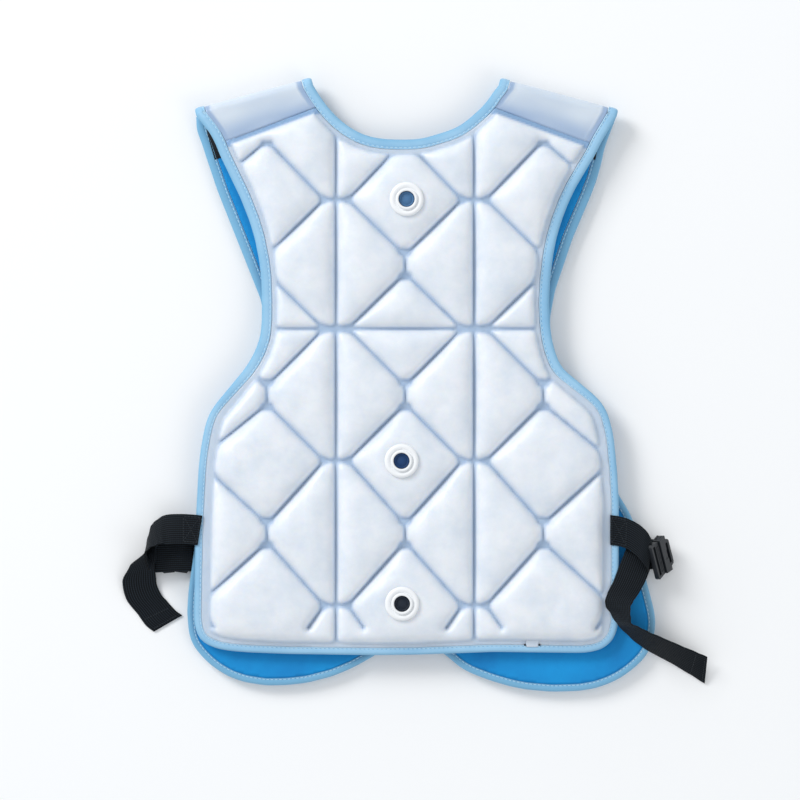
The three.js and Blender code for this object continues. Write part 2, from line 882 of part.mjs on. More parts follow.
valves.forEach(({ row, shift }, i) => {
  const seat = new THREE.Group();
  seat.position.set(shift, starRows[row].height * backLength, crownZ + gap);
  seat.rotation.x = Math.PI / 2;
  vest.add(seat);
  addTo(seat, `valve_ring_${i + 1}`, new THREE.LatheGeometry(valveProfile, valveSides),
    finishes.valve);
  const plug = new THREE.CylinderGeometry(
    valveHole / 2 - gap, valveHole / 2 - gap, plugHeight, valveSides);
  addTo(seat, `valve_plug_${i + 1}`, plug.translate(0, plugHeight / 2, 0), plugFinishes[i]);
});

for (const [name, side, route] of [
  ["strap_right_back", 1, strapRightBack],
  ["strap_right_tail", 1, strapRightTail],
  ["strap_right_front", 1, strapRightFront],
  ["strap_left_back", -1, strapLeftBack],
  ["strap_left_tail", -1, strapLeftTail],
  ["strap_left_front", -1, strapLeftFront],
]) {
  addTo(vest, name, ribbon(side, route), finishes.webbing);
}

for (const [name, side, buckle] of [["right", 1, buckleRight], ["left", -1, buckleLeft]]) {
  const frame = buckleFrame(side, buckle);
  vest.add(frame);
  const joint = -buckleLength / 2 + plugShare * buckleLength;
  addTo(frame, `buckle_${name}_plug`,
    bucklePart(-buckleLength / 2, joint, -1, buckle.thickness), finishes.buckle);
  addTo(frame, `buckle_${name}_socket`,
    bucklePart(joint + gap, buckleLength / 2, 1, buckle.thickness), finishes.buckle);
}

// The origin is the middle of the box's underside
vest.updateMatrixWorld(true);
const box = new THREE.Box3().setFromObject(vest, true);
vest.position.set(-(box.min.x + box.max.x) / 2, -(box.min.y + box.max.y) / 2, -box.min.z);

export default vest;
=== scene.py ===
import logging
import math
from dataclasses import dataclass, field
from enum import Enum
from functools import lru_cache

import bpy
import numpy as np
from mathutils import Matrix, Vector, noise


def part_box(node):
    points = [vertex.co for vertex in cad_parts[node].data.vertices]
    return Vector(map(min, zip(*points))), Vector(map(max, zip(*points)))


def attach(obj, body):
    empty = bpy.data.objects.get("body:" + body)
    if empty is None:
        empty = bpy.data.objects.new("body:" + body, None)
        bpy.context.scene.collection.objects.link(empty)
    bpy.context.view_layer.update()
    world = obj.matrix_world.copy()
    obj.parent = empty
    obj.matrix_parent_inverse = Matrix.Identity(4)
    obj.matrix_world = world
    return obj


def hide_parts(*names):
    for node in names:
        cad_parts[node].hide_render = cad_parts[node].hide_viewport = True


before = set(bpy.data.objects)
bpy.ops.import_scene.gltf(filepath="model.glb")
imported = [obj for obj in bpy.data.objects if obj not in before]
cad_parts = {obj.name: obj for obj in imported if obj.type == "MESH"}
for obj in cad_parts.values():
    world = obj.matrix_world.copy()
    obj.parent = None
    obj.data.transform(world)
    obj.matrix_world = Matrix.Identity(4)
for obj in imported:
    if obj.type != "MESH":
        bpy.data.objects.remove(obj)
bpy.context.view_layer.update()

# A quilted cooling vest that lies flat with its back up. Sizes are in metres, +Y to the neck.

MM = 0.001
LOG = logging.getLogger("cooling_vest")

# Sizes that the frame's nodes are built on
INSET = 10.3 * MM
TAPE_SLIMMING = 2.7 * MM
SHOULDER_SPAN = 420 * MM
SHOULDER_HEIGHT = 547 * MM
SHOULDER_SLOPE = math.radians(15)
VALVE_HEIGHT = 454.886 * MM
VALVE_SHIFT = 1.5 * MM
BAND_SPAN = (10 * MM, 105 * MM)
BAND_LEGS = (41 * MM, 31 * MM)


class Face(Enum):
    """Which way a piece's outer side looks as the vest lies."""

    UP = 1
    DOWN = -1


class Side(Enum):
    """Side of the vest as the photo shows it."""

    LEFT = -1
    RIGHT = 1

    @property
    def label(self) -> str:
        """The side's name as the nodes spell it."""
        return self.name.lower()


# Small tools for lines and meshes


@lru_cache(maxsize=None)
def node_box(node: str) -> tuple[Vector, Vector]:
    """A node's lowest and highest corners, measured once."""
    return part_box(node)


@lru_cache(maxsize=None)
def node_points(node: str) -> np.ndarray:
    """A node's vertices, in metres."""
    return np.array([v.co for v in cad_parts[node].data.vertices])


def run_along(points: np.ndarray) -> np.ndarray:
    """Distance travelled along a line at each of its points."""
    return np.concatenate([[0], np.cumsum(np.linalg.norm(np.diff(points, axis=0), axis=1))])


def unit(vectors: np.ndarray) -> np.ndarray:
    """Vectors, one a row, brought to length one."""
    return vectors / np.linalg.norm(vectors, axis=1)[:, None]


def eased(share: np.ndarray | float) -> np.ndarray | float:
    """A share from 0 to 1 that starts and ends gently."""
    return share * share * (3 - 2 * share)


def resample(points: np.ndarray, spacing: float) -> np.ndarray:
    """Puts points at even distances along a line.

    Args:
        points: Points in the plane or in space, one a row.
        spacing: Distance between the new points, in metres.

    Returns:
        The new points.
    """
    run = run_along(points)
    at = np.linspace(0, run[-1], max(2, int(run[-1] / spacing)))
    return np.column_stack([np.interp(at, run, points[:, k]) for k in range(points.shape[1])])


def smooth_line(points: np.ndarray, spacing: float, passes: int = 10) -> np.ndarray:
    """Resamples a line evenly and rounds off its corners.

    Args:
        points: Points in the plane or in space, one a row.
        spacing: Distance between the new points, in metres.
        passes: How often each point is drawn towards its neighbours.

    Returns:
        The new points, with the ends kept.
    """
    fine = resample(points, spacing / 2)
    for _ in range(passes):
        fine[1:-1] = 0.25 * fine[:-2] + 0.5 * fine[1:-1] + 0.25 * fine[2:]
    return resample(fine, spacing)


def divided(loop: np.ndarray | list, spacing: float) -> np.ndarray:
    """Adds points along the sides of a closed outline.

    Args:
        loop: The outline's corners in order, which all stay.
        spacing: About the distance between the new points, in metres.

    Returns:
        The finer outline.
    """
    closed = np.vstack([loop, loop[:1]])
    fine = []
    for a, b in zip(closed, closed[1:]):
        count = max(1, int(np.linalg.norm(b - a) / spacing))
        fine.extend(a + (b - a) * k / count for k in range(count))
    return np.array(fine)


def line_normals(points: np.ndarray) -> np.ndarray:
    """Unit normals to the left of a line's travel in the plane."""
    travel = unit(np.gradient(points, axis=0))
    return np.column_stack([-travel[:, 1], travel[:, 0]])


def nearest_on(points: np.ndarray, starts: np.ndarray, ends: np.ndarray) -> tuple:
    """Distances from points to each of several segments.

    Args:
        points: Points in the plane, one a row.
        starts: First ends of the segments.
        ends: Second ends of the segments.

    Returns:
        Distances, one row a point and one column a segment, and the nearest place's share.
    """
    along = ends - starts
    share = ((points[:, None] - starts) * along).sum(2) / np.maximum((along ** 2).sum(1), 1e-12)
    share = np.clip(share, 0, 1)
    gaps = points[:, None] - (starts + share[..., None] * along)
    return np.sqrt((gaps ** 2).sum(2)), share


def plate_outline(node: str) -> np.ndarray:
    """Finds the outline of a flat node's top face.

    Args:
        node: The node's name.

    Returns:
        Its corners in the plane, anticlockwise as seen from above.
    """
    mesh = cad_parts[node].data
    co = node_points(node)
    top = co[:, 2].max() - 0.05 * MM
    key = [tuple(np.round(p[:2], 6)) for p in co]
    follows = {}
    for polygon in mesh.polygons:
        if polygon.normal.z > 0.9 and all(co[v, 2] > top for v in polygon.vertices):
            ring = [key[v] for v in polygon.vertices]
            for a, b in zip(ring, ring[1:] + ring[:1]):
                if (b, a) in follows:
                    del follows[b, a]
                else:
                    follows[a, b] = True
    after = dict(follows.keys())
    loop = [next(iter(after))]
    while after[loop[-1]] != loop[0]:
        loop.append(after[loop[-1]])
    return np.array(loop)


def mesh_piece(name: str, verts: np.ndarray, faces: list, finish: bpy.types.Material,
               uv: np.ndarray | None = None, weld: np.ndarray | None = None) -> bpy.types.Object:
    """Makes a smooth mesh object.

    Args:
        name: The piece's name.
        verts: Vertices in metres.
        faces: Faces as lists of vertex numbers.
        finish: Its material.
        uv: A place in metres on the material for each vertex.
        weld: How much each vertex takes the weld colour, from 0 to 1, for welds and for painted shade.

    Returns:
        The new object.
    """
    mesh = bpy.data.meshes.new(name)
    mesh.from_pydata(np.asarray(verts, float).tolist(), [], [list(map(int, f)) for f in faces])
    mesh.update()
    mesh.polygons.foreach_set("use_smooth", [True] * len(mesh.polygons))
    if uv is not None:
        layer = mesh.uv_layers.new(name="cloth")
        index = np.zeros(len(mesh.loops), int)
        mesh.loops.foreach_get("vertex_index", index)
        layer.data.foreach_set("uv", np.asarray(uv, float)[index].ravel())
    if weld is not None:
        attribute = mesh.attributes.new("weld", "FLOAT", "POINT")
        attribute.data.foreach_set("value", np.asarray(weld, float))
    mesh.materials.append(finish)
    piece = bpy.data.objects.new(name, mesh)
    bpy.context.scene.collection.objects.link(piece)
    return piece


def loft(rings: np.ndarray, closed: bool = False) -> tuple[np.ndarray, list]:
    """Joins rings of points into a skin with end caps, or into a closed ring.

    Args:
        rings: Rings by points by coordinates, each ring anticlockwise about the travel.
        closed: Whether the last ring joins the first.

    Returns:
        Vertices and faces.
    """
    count, sides = rings.shape[:2]
    faces = []
    for k in range(count if closed else count - 1):
        a, b = k * sides, (k + 1) % count * sides
        for i in range(sides):
            j = (i + 1) % sides
            faces.append([a + i, a + j, b + j, b + i])
    if not closed:
        faces.append(list(range(sides))[::-1])
        faces.append(list(range((count - 1) * sides, count * sides)))
    return rings.reshape(-1, 3), faces


def soft_section(width: float, thickness: float, round_steps: int = 3) -> np.ndarray:
    """Rounded rectangle from 0 to its width and half its thickness to each side.

    Args:
        width: Its width.
        thickness: Its thickness.
        round_steps: Sides of each rounded corner.

    Returns:
        Points round the section, anticlockwise.
    """
    radius = 0.42 * thickness
    half = thickness / 2
    centres = [(width - radius, half - radius), (radius, half - radius),
               (radius, radius - half), (width - radius, radius - half)]
    points = []
    for k, (x, y) in enumerate(centres):
        for step in range(round_steps + 1):
            angle = math.pi / 2 * (k + step / round_steps)
            points.append((x + radius * math.cos(angle), y + radius * math.sin(angle)))
    return np.array(points)


def tape_section(width: float, thickness: float) -> np.ndarray:
    """Section of folded tape: rounded outside, a stitched valley and a rolled inner edge.

    Args:
        width: The tape's width, from its outer edge at 0.
        thickness: Its full thickness.

    Returns:
        Points round the section, anticlockwise from the inner edge.
    """
    half = thickness / 2
    upper = [(1.0, 0.2), (0.995, 0.62), (0.96, 0.94), (0.91, 1.0), (0.87, 0.94), (0.84, 0.78),
             (0.80, 0.76), (0.74, 0.93), (0.62, 1.0), (0.45, 1.0), (0.30, 0.95), (0.16, 0.80),
             (0.06, 0.52), (0.005, 0.2)]
    points = [(x * width, y * half) for x, y in upper]
    return np.array(points + [(x, -y) for x, y in points[::-1]])


def dress(piece: bpy.types.Object, slot: str, *nodes: str) -> None:
    """Puts a piece on the vest's one body.

    Args:
        piece: The piece.
        slot: The record's material slot; not used.
        *nodes: The nodes that it stands for, if any.
    """
    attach(piece, "root")
    if nodes:
        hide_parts(*nodes)
    LOG.info("%s: %d faces", piece.name, len(piece.data.polygons))


# Finishes


def linear(colour: str) -> tuple[float, float, float, float]:
    """An sRGB hex colour as linear RGBA."""
    parts = [int(colour[k:k + 2], 16) / 255 for k in (1, 3, 5)]
    return (*[c / 12.92 if c <= 0.04045 else ((c + 0.055) / 1.055) ** 2.4 for c in parts], 1.0)


def add_node(tree: bpy.types.NodeTree, kind: str, inputs: dict | None = None,
             **settings) -> bpy.types.Node:
    """Adds a node with its settings, and sets or links its inputs.

    Args:
        tree: The node tree it goes in.
        kind: The node's type.
        inputs: Values or output sockets by input name or number.
        **settings: The node's own properties.

    Returns:
        The new node.
    """
    made = tree.nodes.new(kind)
    for name, value in settings.items():
        setattr(made, name, value)
    for name, value in (inputs or {}).items():
        if isinstance(value, bpy.types.NodeSocket):
            tree.links.new(value, made.inputs[name])
        else:
            made.inputs[name].default_value = value
    return made


def cloud(tree: bpy.types.NodeTree, place: bpy.types.NodeSocket, size: float, detail: float,
          roughness: float = 0.5) -> bpy.types.NodeSocket:
    """Adds noise.

    Args:
        tree: The node tree it goes in.
        place: The coordinates that it follows.
        size: The size of its patches, in metres.
        detail: How many finer layers it has.
        roughness: How strong those are.

    Returns:
        The noise, from 0 to 1.
    """
    return add_node(tree, "ShaderNodeTexNoise", {
        "Vector": place, "Scale": 1 / size, "Detail": detail, "Roughness": roughness}).outputs["Fac"]


def ramp(tree: bpy.types.NodeTree, value: bpy.types.NodeSocket, given: tuple[float, float],
         wanted: tuple[float, float] = (0.0, 1.0)) -> bpy.types.NodeSocket:
    """Maps a range of values on another, cut off at its ends.

    Args:
        tree: The node tree it goes in.
        value: The value.
        given: The range that it is taken from.
        wanted: The range that it is put in.

    Returns:
        The mapped value.
    """
    return add_node(tree, "ShaderNodeMapRange", {
        "Value": value, "From Min": given[0], "From Max": given[1],
        "To Min": wanted[0], "To Max": wanted[1]}).outputs["Result"]


def blend(tree: bpy.types.NodeTree, share: bpy.types.NodeSocket | float, first: object,
          second: object, **settings) -> bpy.types.NodeSocket:
    """Mixes two colours.

    Args:
        tree: The node tree it goes in.
        share: How much the second counts.
        first: A colour or the socket that gives it.
        second: Another.
        **settings: The mixing node's own properties.

    Returns:
        The mixed colour.
    """
    return add_node(tree, "ShaderNodeMix", {0: share, 6: first, 7: second}, data_type="RGBA",
                    **settings).outputs[2]


def emboss(tree: bpy.types.NodeTree, shader: bpy.types.Node, height: bpy.types.NodeSocket,
           strength: float, depth: float, invert: bool = False) -> None:
    """Gives a shader a relief.

    Args:
        tree: The node tree it goes in.
        shader: The material's main shader.
        height: The relief's height, from 0 to 1.
        strength: How strongly it shows.
        depth: How deep it is, in metres.
        invert: Whether what is high is sunk instead.
    """
    bump = add_node(tree, "ShaderNodeBump", {"Height": height, "Strength": strength,
                                             "Distance": depth}, invert=invert)
    tree.links.new(bump.outputs["Normal"], shader.inputs["Normal"])


@dataclass(frozen=True)
class Finish:
    """What every finish shares: a named material and its main shader."""

    name: str
    colour: str
    roughness: float
    ior: float = 1.45

    def material(self) -> bpy.types.Material:
        """Makes the finish as a material, once.

        Returns:
            The material.
        """
        if self.name in bpy.data.materials:
            return bpy.data.materials[self.name]
        made = bpy.data.materials.new(self.name)
        made.use_nodes = True
        made.diffuse_color = linear(self.colour)
        shader = made.node_tree.nodes["Principled BSDF"]
        self.set_inputs(shader, {"Base Color": linear(self.colour), "Roughness": self.roughness,
                                 "IOR": self.ior})
        self.detail(made.node_tree, shader)
        return made

    @staticmethod
    def set_inputs(shader: bpy.types.Node, values: dict) -> None:
        """Sets a shader's inputs by name."""
        for name, value in values.items():
            shader.inputs[name].default_value = value

    def detail(self, tree: bpy.types.NodeTree, shader: bpy.types.Node) -> None:
        """Adds the finish's own pattern."""


@dataclass(frozen=True)
class WeldedFilm(Finish):
    """Milky TPU film, calendered and welded: satin, white over the fill, cooler at the welds; the welds'
    colour also paints shade.
    """

    weld_colour: str = "#84a9d2"
    fill_colour: str = "#d2dde9"
    mottle: float = 26 * MM
    crease: float = 3.2 * MM
    subsurface: float = 0.25
    scatter: tuple[float, float, float] = (6 * MM, 8 * MM, 11 * MM)

    def detail(self, tree: bpy.types.NodeTree, shader: bpy.types.Node) -> None:
        """Tints by the weld attribute, which holds the welds and painted shade, and mottles the fill
        behind the film.

        Args:
            tree: The material's node tree.
            shader: Its main shader.
        """
        place = add_node(tree, "ShaderNodeTexCoord").outputs["Object"]
        weld = add_node(tree, "ShaderNodeAttribute", attribute_name="weld").outputs["Fac"]
        patches = cloud(tree, place, self.mottle, 5.0, 0.6)
        tint = ramp(tree, patches, (0.35, 0.75), (0.0, 0.7))
        fill = blend(tree, tint, linear(self.colour), linear(self.fill_colour))
        both = blend(tree, weld, fill, linear(self.weld_colour))
        tree.links.new(both, shader.inputs["Base Color"])
        gloss = ramp(tree, patches, (0.0, 1.0), (self.roughness - 0.06, self.roughness + 0.12))
        tree.links.new(gloss, shader.inputs["Roughness"])
        emboss(tree, shader, cloud(tree, place, self.crease, 3.0, 0.55), 0.18, 0.5 * MM)
        self.set_inputs(shader, {
            "Subsurface Weight": self.subsurface, "Subsurface Radius": self.scatter,
            "Subsurface Scale": 0.6, "Coat Weight": 0.15, "Coat Roughness": 0.3})


@dataclass(frozen=True)
class WovenCloth(Finish):
    """Woven polyester, dyed: matt with a faint sheen, threads drawn coarse enough to show."""

    shade: str = "#0a6fb0"
    thread: float = 1.1 * MM
    mottle: float = 45 * MM
    sheen: float = 0.25
    uses_uv: bool = False
    # On a tape: colours for a painted highlight along the inner edge and painted shade along the outer
    # edge, and how far across each reaches.
    bead: str = ""
    rim: str = ""
    bead_span: tuple[float, float] = (2.3 * MM, 1.8 * MM)
    rim_span: tuple[float, float] = (8 * MM, 13 * MM)

    def detail(self, tree: bpy.types.NodeTree, shader: bpy.types.Node) -> None:
        """Crosses two sets of threads, varies the dye, and on a tape paints a highlight along its inner
        edge and shade along its outer edge.

        Args:
            tree: The material's node tree.
            shader: Its main shader.
        """
        places = add_node(tree, "ShaderNodeTexCoord")
        place = places.outputs["UV" if self.uses_uv else "Object"]
        weave = [add_node(tree, "ShaderNodeTexWave", {
            "Vector": place, "Scale": 1 / self.thread / 3.2, "Distortion": 0.6,
            "Detail": 2.0, "Detail Scale": 2.0}, bands_direction=direction).outputs["Fac"]
            for direction in ("X", "Y")]
        height = add_node(tree, "ShaderNodeMath", {0: weave[0], 1: weave[1]},
                          operation="MAXIMUM").outputs["Value"]
        dye = ramp(tree, cloud(tree, places.outputs["Object"], self.mottle, 4.0), (0.3, 0.7))
        colour = blend(tree, dye, linear(self.shade), linear(self.colour))
        # Painted highlight along the tape's inner edge, painted shade along its outer edge.
        for tint, span in ((self.bead, self.bead_span), (self.rim, self.rim_span)):
            if tint:
                across = add_node(tree, "ShaderNodeSeparateXYZ", {"Vector": place}).outputs["X"]
                colour = blend(tree, ramp(tree, across, span, (0.0, 0.8)), colour, linear(tint))
        threads = blend(tree, 0.12, colour, height, blend_type="OVERLAY")
        tree.links.new(threads, shader.inputs["Base Color"])
        emboss(tree, shader, height, 0.35, 0.25 * MM)
        self.set_inputs(shader, {"Sheen Weight": self.sheen, "Sheen Roughness": 0.4})


@dataclass(frozen=True)
class RibbedWebbing(Finish):
    """Nylon webbing, shuttle woven: near black, lengthwise cords that catch the light."""

    # Lighter colour of the cords' tops: a painted highlight.
    shade: str = "#1f2932"
    rib: float = 2.1 * MM

    def detail(self, tree: bpy.types.NodeTree, shader: bpy.types.Node) -> None:
        """Cords along the strap, drawn coarser than real ones to show, crossed by the weft, with the
        cords' tops painted lighter as a painted highlight.

        Args:
            tree: The material's node tree.
            shader: Its main shader.
        """
        place = add_node(tree, "ShaderNodeTexCoord").outputs["UV"]
        split = add_node(tree, "ShaderNodeSeparateXYZ", {"Vector": place})
        waves = []
        for axis in ("X", "Y"):
            turns = add_node(tree, "ShaderNodeMath", {
                0: split.outputs[axis], 1: 2 * math.pi / self.rib}, operation="MULTIPLY")
            waves.append(add_node(tree, "ShaderNodeMath", {0: turns.outputs["Value"]},
                                  operation="SINE").outputs["Value"])
        ribs = add_node(tree, "ShaderNodeMath", {0: waves[1], 1: 0.3, 2: waves[0]},
                        operation="MULTIPLY_ADD").outputs["Value"]
        level = ramp(tree, ribs, (-0.6, 1.3))
        # Painted highlight: the cords' tops take the lighter colour.
        colour = blend(tree, level, linear(self.colour), linear(self.shade))
        tree.links.new(colour, shader.inputs["Base Color"])
        emboss(tree, shader, level, 0.8, 0.5 * MM)
        self.set_inputs(shader, {"Specular IOR Level": 0.2, "Sheen Weight": 0.04,
                                 "Sheen Roughness": 0.35})


@dataclass(frozen=True)
class MouldedPlastic(Finish):
    """Injection moulded plastic: even colour, fine spark texture that softens the gloss."""

    grain: float = 0.9 * MM
    grain_depth: float = 0.06

    def detail(self, tree: bpy.types.NodeTree, shader: bpy.types.Node) -> None:
        """Adds the mould's grain and a little uneven gloss.

        Args:
            tree: The material's node tree.
            shader: Its main shader.
        """
        place = add_node(tree, "ShaderNodeTexCoord").outputs["Object"]
        grain = cloud(tree, place, self.grain, 2.0)
        gloss = ramp(tree, grain, (0.0, 1.0), (self.roughness - 0.05, self.roughness + 0.1))
        tree.links.new(gloss, shader.inputs["Roughness"])
        emboss(tree, shader, grain, self.grain_depth, 0.2 * MM)


@dataclass(frozen=True)
class HookAndLoop(Finish):
    """Hook-and-loop pile, woven and cut: dense black nap that swallows light."""

    glint: str = "#2b2f36"
    hook: float = 1.3 * MM

    def detail(self, tree: bpy.types.NodeTree, shader: bpy.types.Node) -> None:
        """Rows of small hooks as cells.

        Args:
            tree: The material's node tree.
            shader: Its main shader.
        """
        place = add_node(tree, "ShaderNodeTexCoord").outputs["Object"]
        away = add_node(tree, "ShaderNodeTexVoronoi", {
            "Vector": place, "Scale": 1 / self.hook}).outputs["Distance"]
        tree.links.new(blend(tree, away, linear(self.glint), linear(self.colour)),
                       shader.inputs["Base Color"])
        emboss(tree, shader, away, 0.9, 0.5 * MM, invert=True)


PAD_FILM = WeldedFilm("calendered_tpu_film_filled", "#ebeff5", 0.38)
# The band's weld colour also paints shade down its legs.
BAND_FILM = WeldedFilm("calendered_tpu_film_smooth", "#d3deeb", 0.28, weld_colour="#8ea9cd",
                       subsurface=0.1)
SHELL_CLOTH = WovenCloth("woven_polyester_blue", "#0692da", 0.8, shade="#057fc6", sheen=0.08)
# The tape's pale inner line is a painted highlight and its darker outer edge is painted shade.
BINDING_TAPE = WovenCloth("woven_polyester_tape_pale_blue", "#9dcaea", 0.55, shade="#86b8de",
                          thread=0.9 * MM, sheen=0.3, uses_uv=True, bead="#cdebf9", rim="#6ba9d0")
THREAD = MouldedPlastic("twisted_polyester_thread", "#c3e2f4", 0.55)
DARK_THREAD = MouldedPlastic("twisted_nylon_thread_black", "#1b2229", 0.5)
WEBBING = RibbedWebbing("shuttle_woven_nylon_webbing", "#020305", 0.7)
BUCKLE_PLASTIC = MouldedPlastic("moulded_acetal_dark_grey", "#1b2026", 0.42, 1.48)
VALVE_PLASTIC = MouldedPlastic("moulded_soft_pvc_white", "#f4f6f8", 0.32, 1.53, grain_depth=0.02)
PLUGS = (MouldedPlastic("moulded_pvc_steel_blue", "#47739e", 0.6),
         MouldedPlastic("moulded_pvc_navy", "#0b3a6b", 0.6),
         MouldedPlastic("moulded_pvc_near_black", "#0a1a2b", 0.6))
PATCH = HookAndLoop("woven_hook_and_loop_black", "#0c0e11", 0.95)


# The vest's frame: where its middle column, hem and shoulders lie


def valve_seat(number: int) -> np.ndarray:
    """The middle of a valve's ring, at its foot."""
    low, high = node_box(f"valve_ring_{number}")
    return np.array([(low.x + high.x) / 2, (low.y + high.y) / 2, low.z])


@dataclass
class Layout:
    """Places that all sub-assemblies share, worked out from the frame's nodes."""

    origin: np.ndarray = field(init=False)
    arm_level: float = 300 * MM
    arm_fade: float = 60 * MM
    tape_overlap: float = 0.2 * MM
    band_overlap: float = 0.3 * MM
    shoulder_edge: float = 60 * MM
    shoulder_share: float = 0.75
    slope_slack: float = 0.05

    def __post_init__(self) -> None:
        """Finds the point where the middle column meets the hem."""
        self.origin = valve_seat(1)[:2] - [VALVE_SHIFT, VALVE_HEIGHT]

    def shoulder(self, side: Side) -> tuple[np.ndarray, np.ndarray, np.ndarray]:
        """Finds a shoulder's fold.

        Args:
            side: The shoulder's side.

        Returns:
            Its outer corner, the way along it and the way down the vest.
        """
        s, slope = side.value, SHOULDER_SLOPE
        corner = self.origin + [s * SHOULDER_SPAN / 2, SHOULDER_HEIGHT]
        along = np.array([-s * math.cos(slope), math.sin(slope)])
        down = np.array([-s * math.sin(slope), -math.cos(slope)])
        return corner, along, down

    def shoulder_near(self, point: np.ndarray) -> tuple[np.ndarray, np.ndarray, np.ndarray]:
        """The fold of the shoulder on a point's side."""
        return self.shoulder(Side.LEFT if point[0] < self.origin[0] else Side.RIGHT)

    def band_leg(self, place: float) -> float:
        """How deep a shoulder band reaches below its fold, at a place along the fold."""
        share = np.clip((place - BAND_SPAN[0]) / (BAND_SPAN[1] - BAND_SPAN[0]), 0, 1)
        return float(BAND_LEGS[0] + (BAND_LEGS[1] - BAND_LEGS[0]) * share)

    def band_gap(self, point: np.ndarray) -> float:
        """Measures how far a point lies below the lower edge of its shoulder's band.

        Args:
            point: A point in the plane.

        Returns:
            The distance, negative under the band.
        """
        corner, along, down = self.shoulder_near(point)
        leg = self.band_leg((point - corner) @ along)
        return float((point - corner) @ down) - leg - self.band_overlap

    def depth(self, point: np.ndarray) -> float:
        """How far a point lies below its shoulder's fold."""
        corner, _, down = self.shoulder_near(point)
        return float((point - corner) @ down)

    def below_arms(self, points: np.ndarray) -> np.ndarray:
        """How far points lie below the armholes, eased from 0 to 1."""
        return eased(np.clip((self.origin[1] + self.arm_level - points[:, 1]) / self.arm_fade, 0, 1))

    def widened(self, outline: np.ndarray) -> np.ndarray:
        """Moves a closed outline out below the armholes, where the tape is slim.

        Args:
            outline: The outline, anticlockwise.

        Returns:
            The wider outline.
        """
        way = np.roll(outline, -1, axis=0) - np.roll(outline, 1, axis=0)
        out = np.column_stack([way[:, 1], -way[:, 0]]) / np.linalg.norm(way, axis=1)[:, None]
        far = TAPE_SLIMMING + self.tape_overlap
        return outline + out * far * self.below_arms(outline)[:, None]

    def split(self, outline: np.ndarray) -> list[np.ndarray]:
        """Cuts an outline at its straight shoulder edges.

        Args:
            outline: A closed outline, anticlockwise.

        Returns:
            The lines between the shoulder edges, each in the outline's order.
        """
        edge = np.roll(outline, -1, axis=0) - outline
        length = np.linalg.norm(edge, axis=1)
        slope = np.abs(np.arctan2(np.abs(edge[:, 1]), np.abs(edge[:, 0])) - SHOULDER_SLOPE)
        high = outline[:, 1] > self.origin[1] + self.shoulder_share * SHOULDER_HEIGHT
        cuts = np.flatnonzero((length > self.shoulder_edge) & (slope < self.slope_slack) & high)
        turned = np.roll(outline, -(cuts[0] + 1), axis=0)
        parts, start = [], 0
        for cut in [*(cuts[1:] - cuts[0] - 1), len(outline) - 1]:
            parts.append(turned[start:cut + 1])
            start = cut + 1
        return parts


# Panels


@dataclass
class PanelGrid:
    """A plane panel cut into small squares whose edge points lie on its outline."""

    outline: np.ndarray
    step: float
    points: np.ndarray = field(init=False)
    faces: list = field(init=False)
    ring: list = field(init=False)

    def __post_init__(self) -> None:
        """Cuts the panel."""
        low, high = self.outline.min(0), self.outline.max(0)
        count = np.ceil((high - low) / self.step).astype(int) + 1
        xs = low[0] + np.arange(count[0]) * self.step
        ys = low[1] + np.arange(count[1]) * self.step
        grid = np.array(np.meshgrid(xs, ys, indexing="ij")).reshape(2, -1).T
        inside = self.contains(grid + self.step / 2).reshape(count)
        inside[-1, :] = inside[:, -1] = False
        number = -np.ones(count, int)
        cells = np.argwhere(inside)
        for di, dj in ((0, 0), (1, 0), (1, 1), (0, 1)):
            number[cells[:, 0] + di, cells[:, 1] + dj] = 0
        used = np.argwhere(number == 0)
        number[used[:, 0], used[:, 1]] = np.arange(len(used))
        self.points = grid.reshape(*count, 2)[used[:, 0], used[:, 1]]
        self.faces = [[number[i, j], number[i + 1, j], number[i + 1, j + 1], number[i, j + 1]]
                      for i, j in cells]
        self.ring = self.rim()
        self.points[self.ring] = self.snap(self.points[self.ring])

    def contains(self, points: np.ndarray) -> np.ndarray:
        """Tells which points lie inside the outline.

        Args:
            points: Points in the plane.

        Returns:
            True or false for each.
        """
        inside = np.zeros(len(points), bool)
        for a, b in zip(self.outline, np.roll(self.outline, -1, axis=0)):
            crosses = (a[1] > points[:, 1]) != (b[1] > points[:, 1])
            with np.errstate(divide="ignore", invalid="ignore"):
                x = (b[0] - a[0]) * (points[:, 1] - a[1]) / (b[1] - a[1]) + a[0]
            inside ^= crosses & (points[:, 0] < x)
        return inside

    def rim(self) -> list:
        """Follows the panel's edge.

        Returns:
            The numbers of its points, in order.
        """
        follows = {}
        edges = {(f[k], f[(k + 1) % 4]) for f in self.faces for k in range(4)}
        for a, b in sorted(edges):
            if (b, a) not in edges:
                follows.setdefault(a, []).append(b)
        loop = [next(iter(follows))]
        while True:
            following = follows[loop[-1]].pop()
            if following == loop[0]:
                return loop
            loop.append(following)

    def snap(self, points: np.ndarray) -> np.ndarray:
        """Moves points to the nearest place on the outline.

        Args:
            points: Points in the plane.

        Returns:
            The places.
        """
        ends = np.roll(self.outline, -1, axis=0)
        gaps, share = nearest_on(points, self.outline, ends)
        near = gaps.argmin(1)
        part = share[np.arange(len(points)), near][:, None]
        return self.outline[near] + part * (ends[near] - self.outline[near])

    def rim_distance(self, points: np.ndarray) -> np.ndarray:
        """Measures how far points lie from the outline.

        Args:
            points: Points in the plane.

        Returns:
            The distances.
        """
        ends = np.roll(self.outline, -1, axis=0)
        blocks = np.array_split(points, max(1, len(points) // 4000))
        return np.concatenate([nearest_on(b, self.outline, ends)[0].min(1) for b in blocks])


# Quilted pads


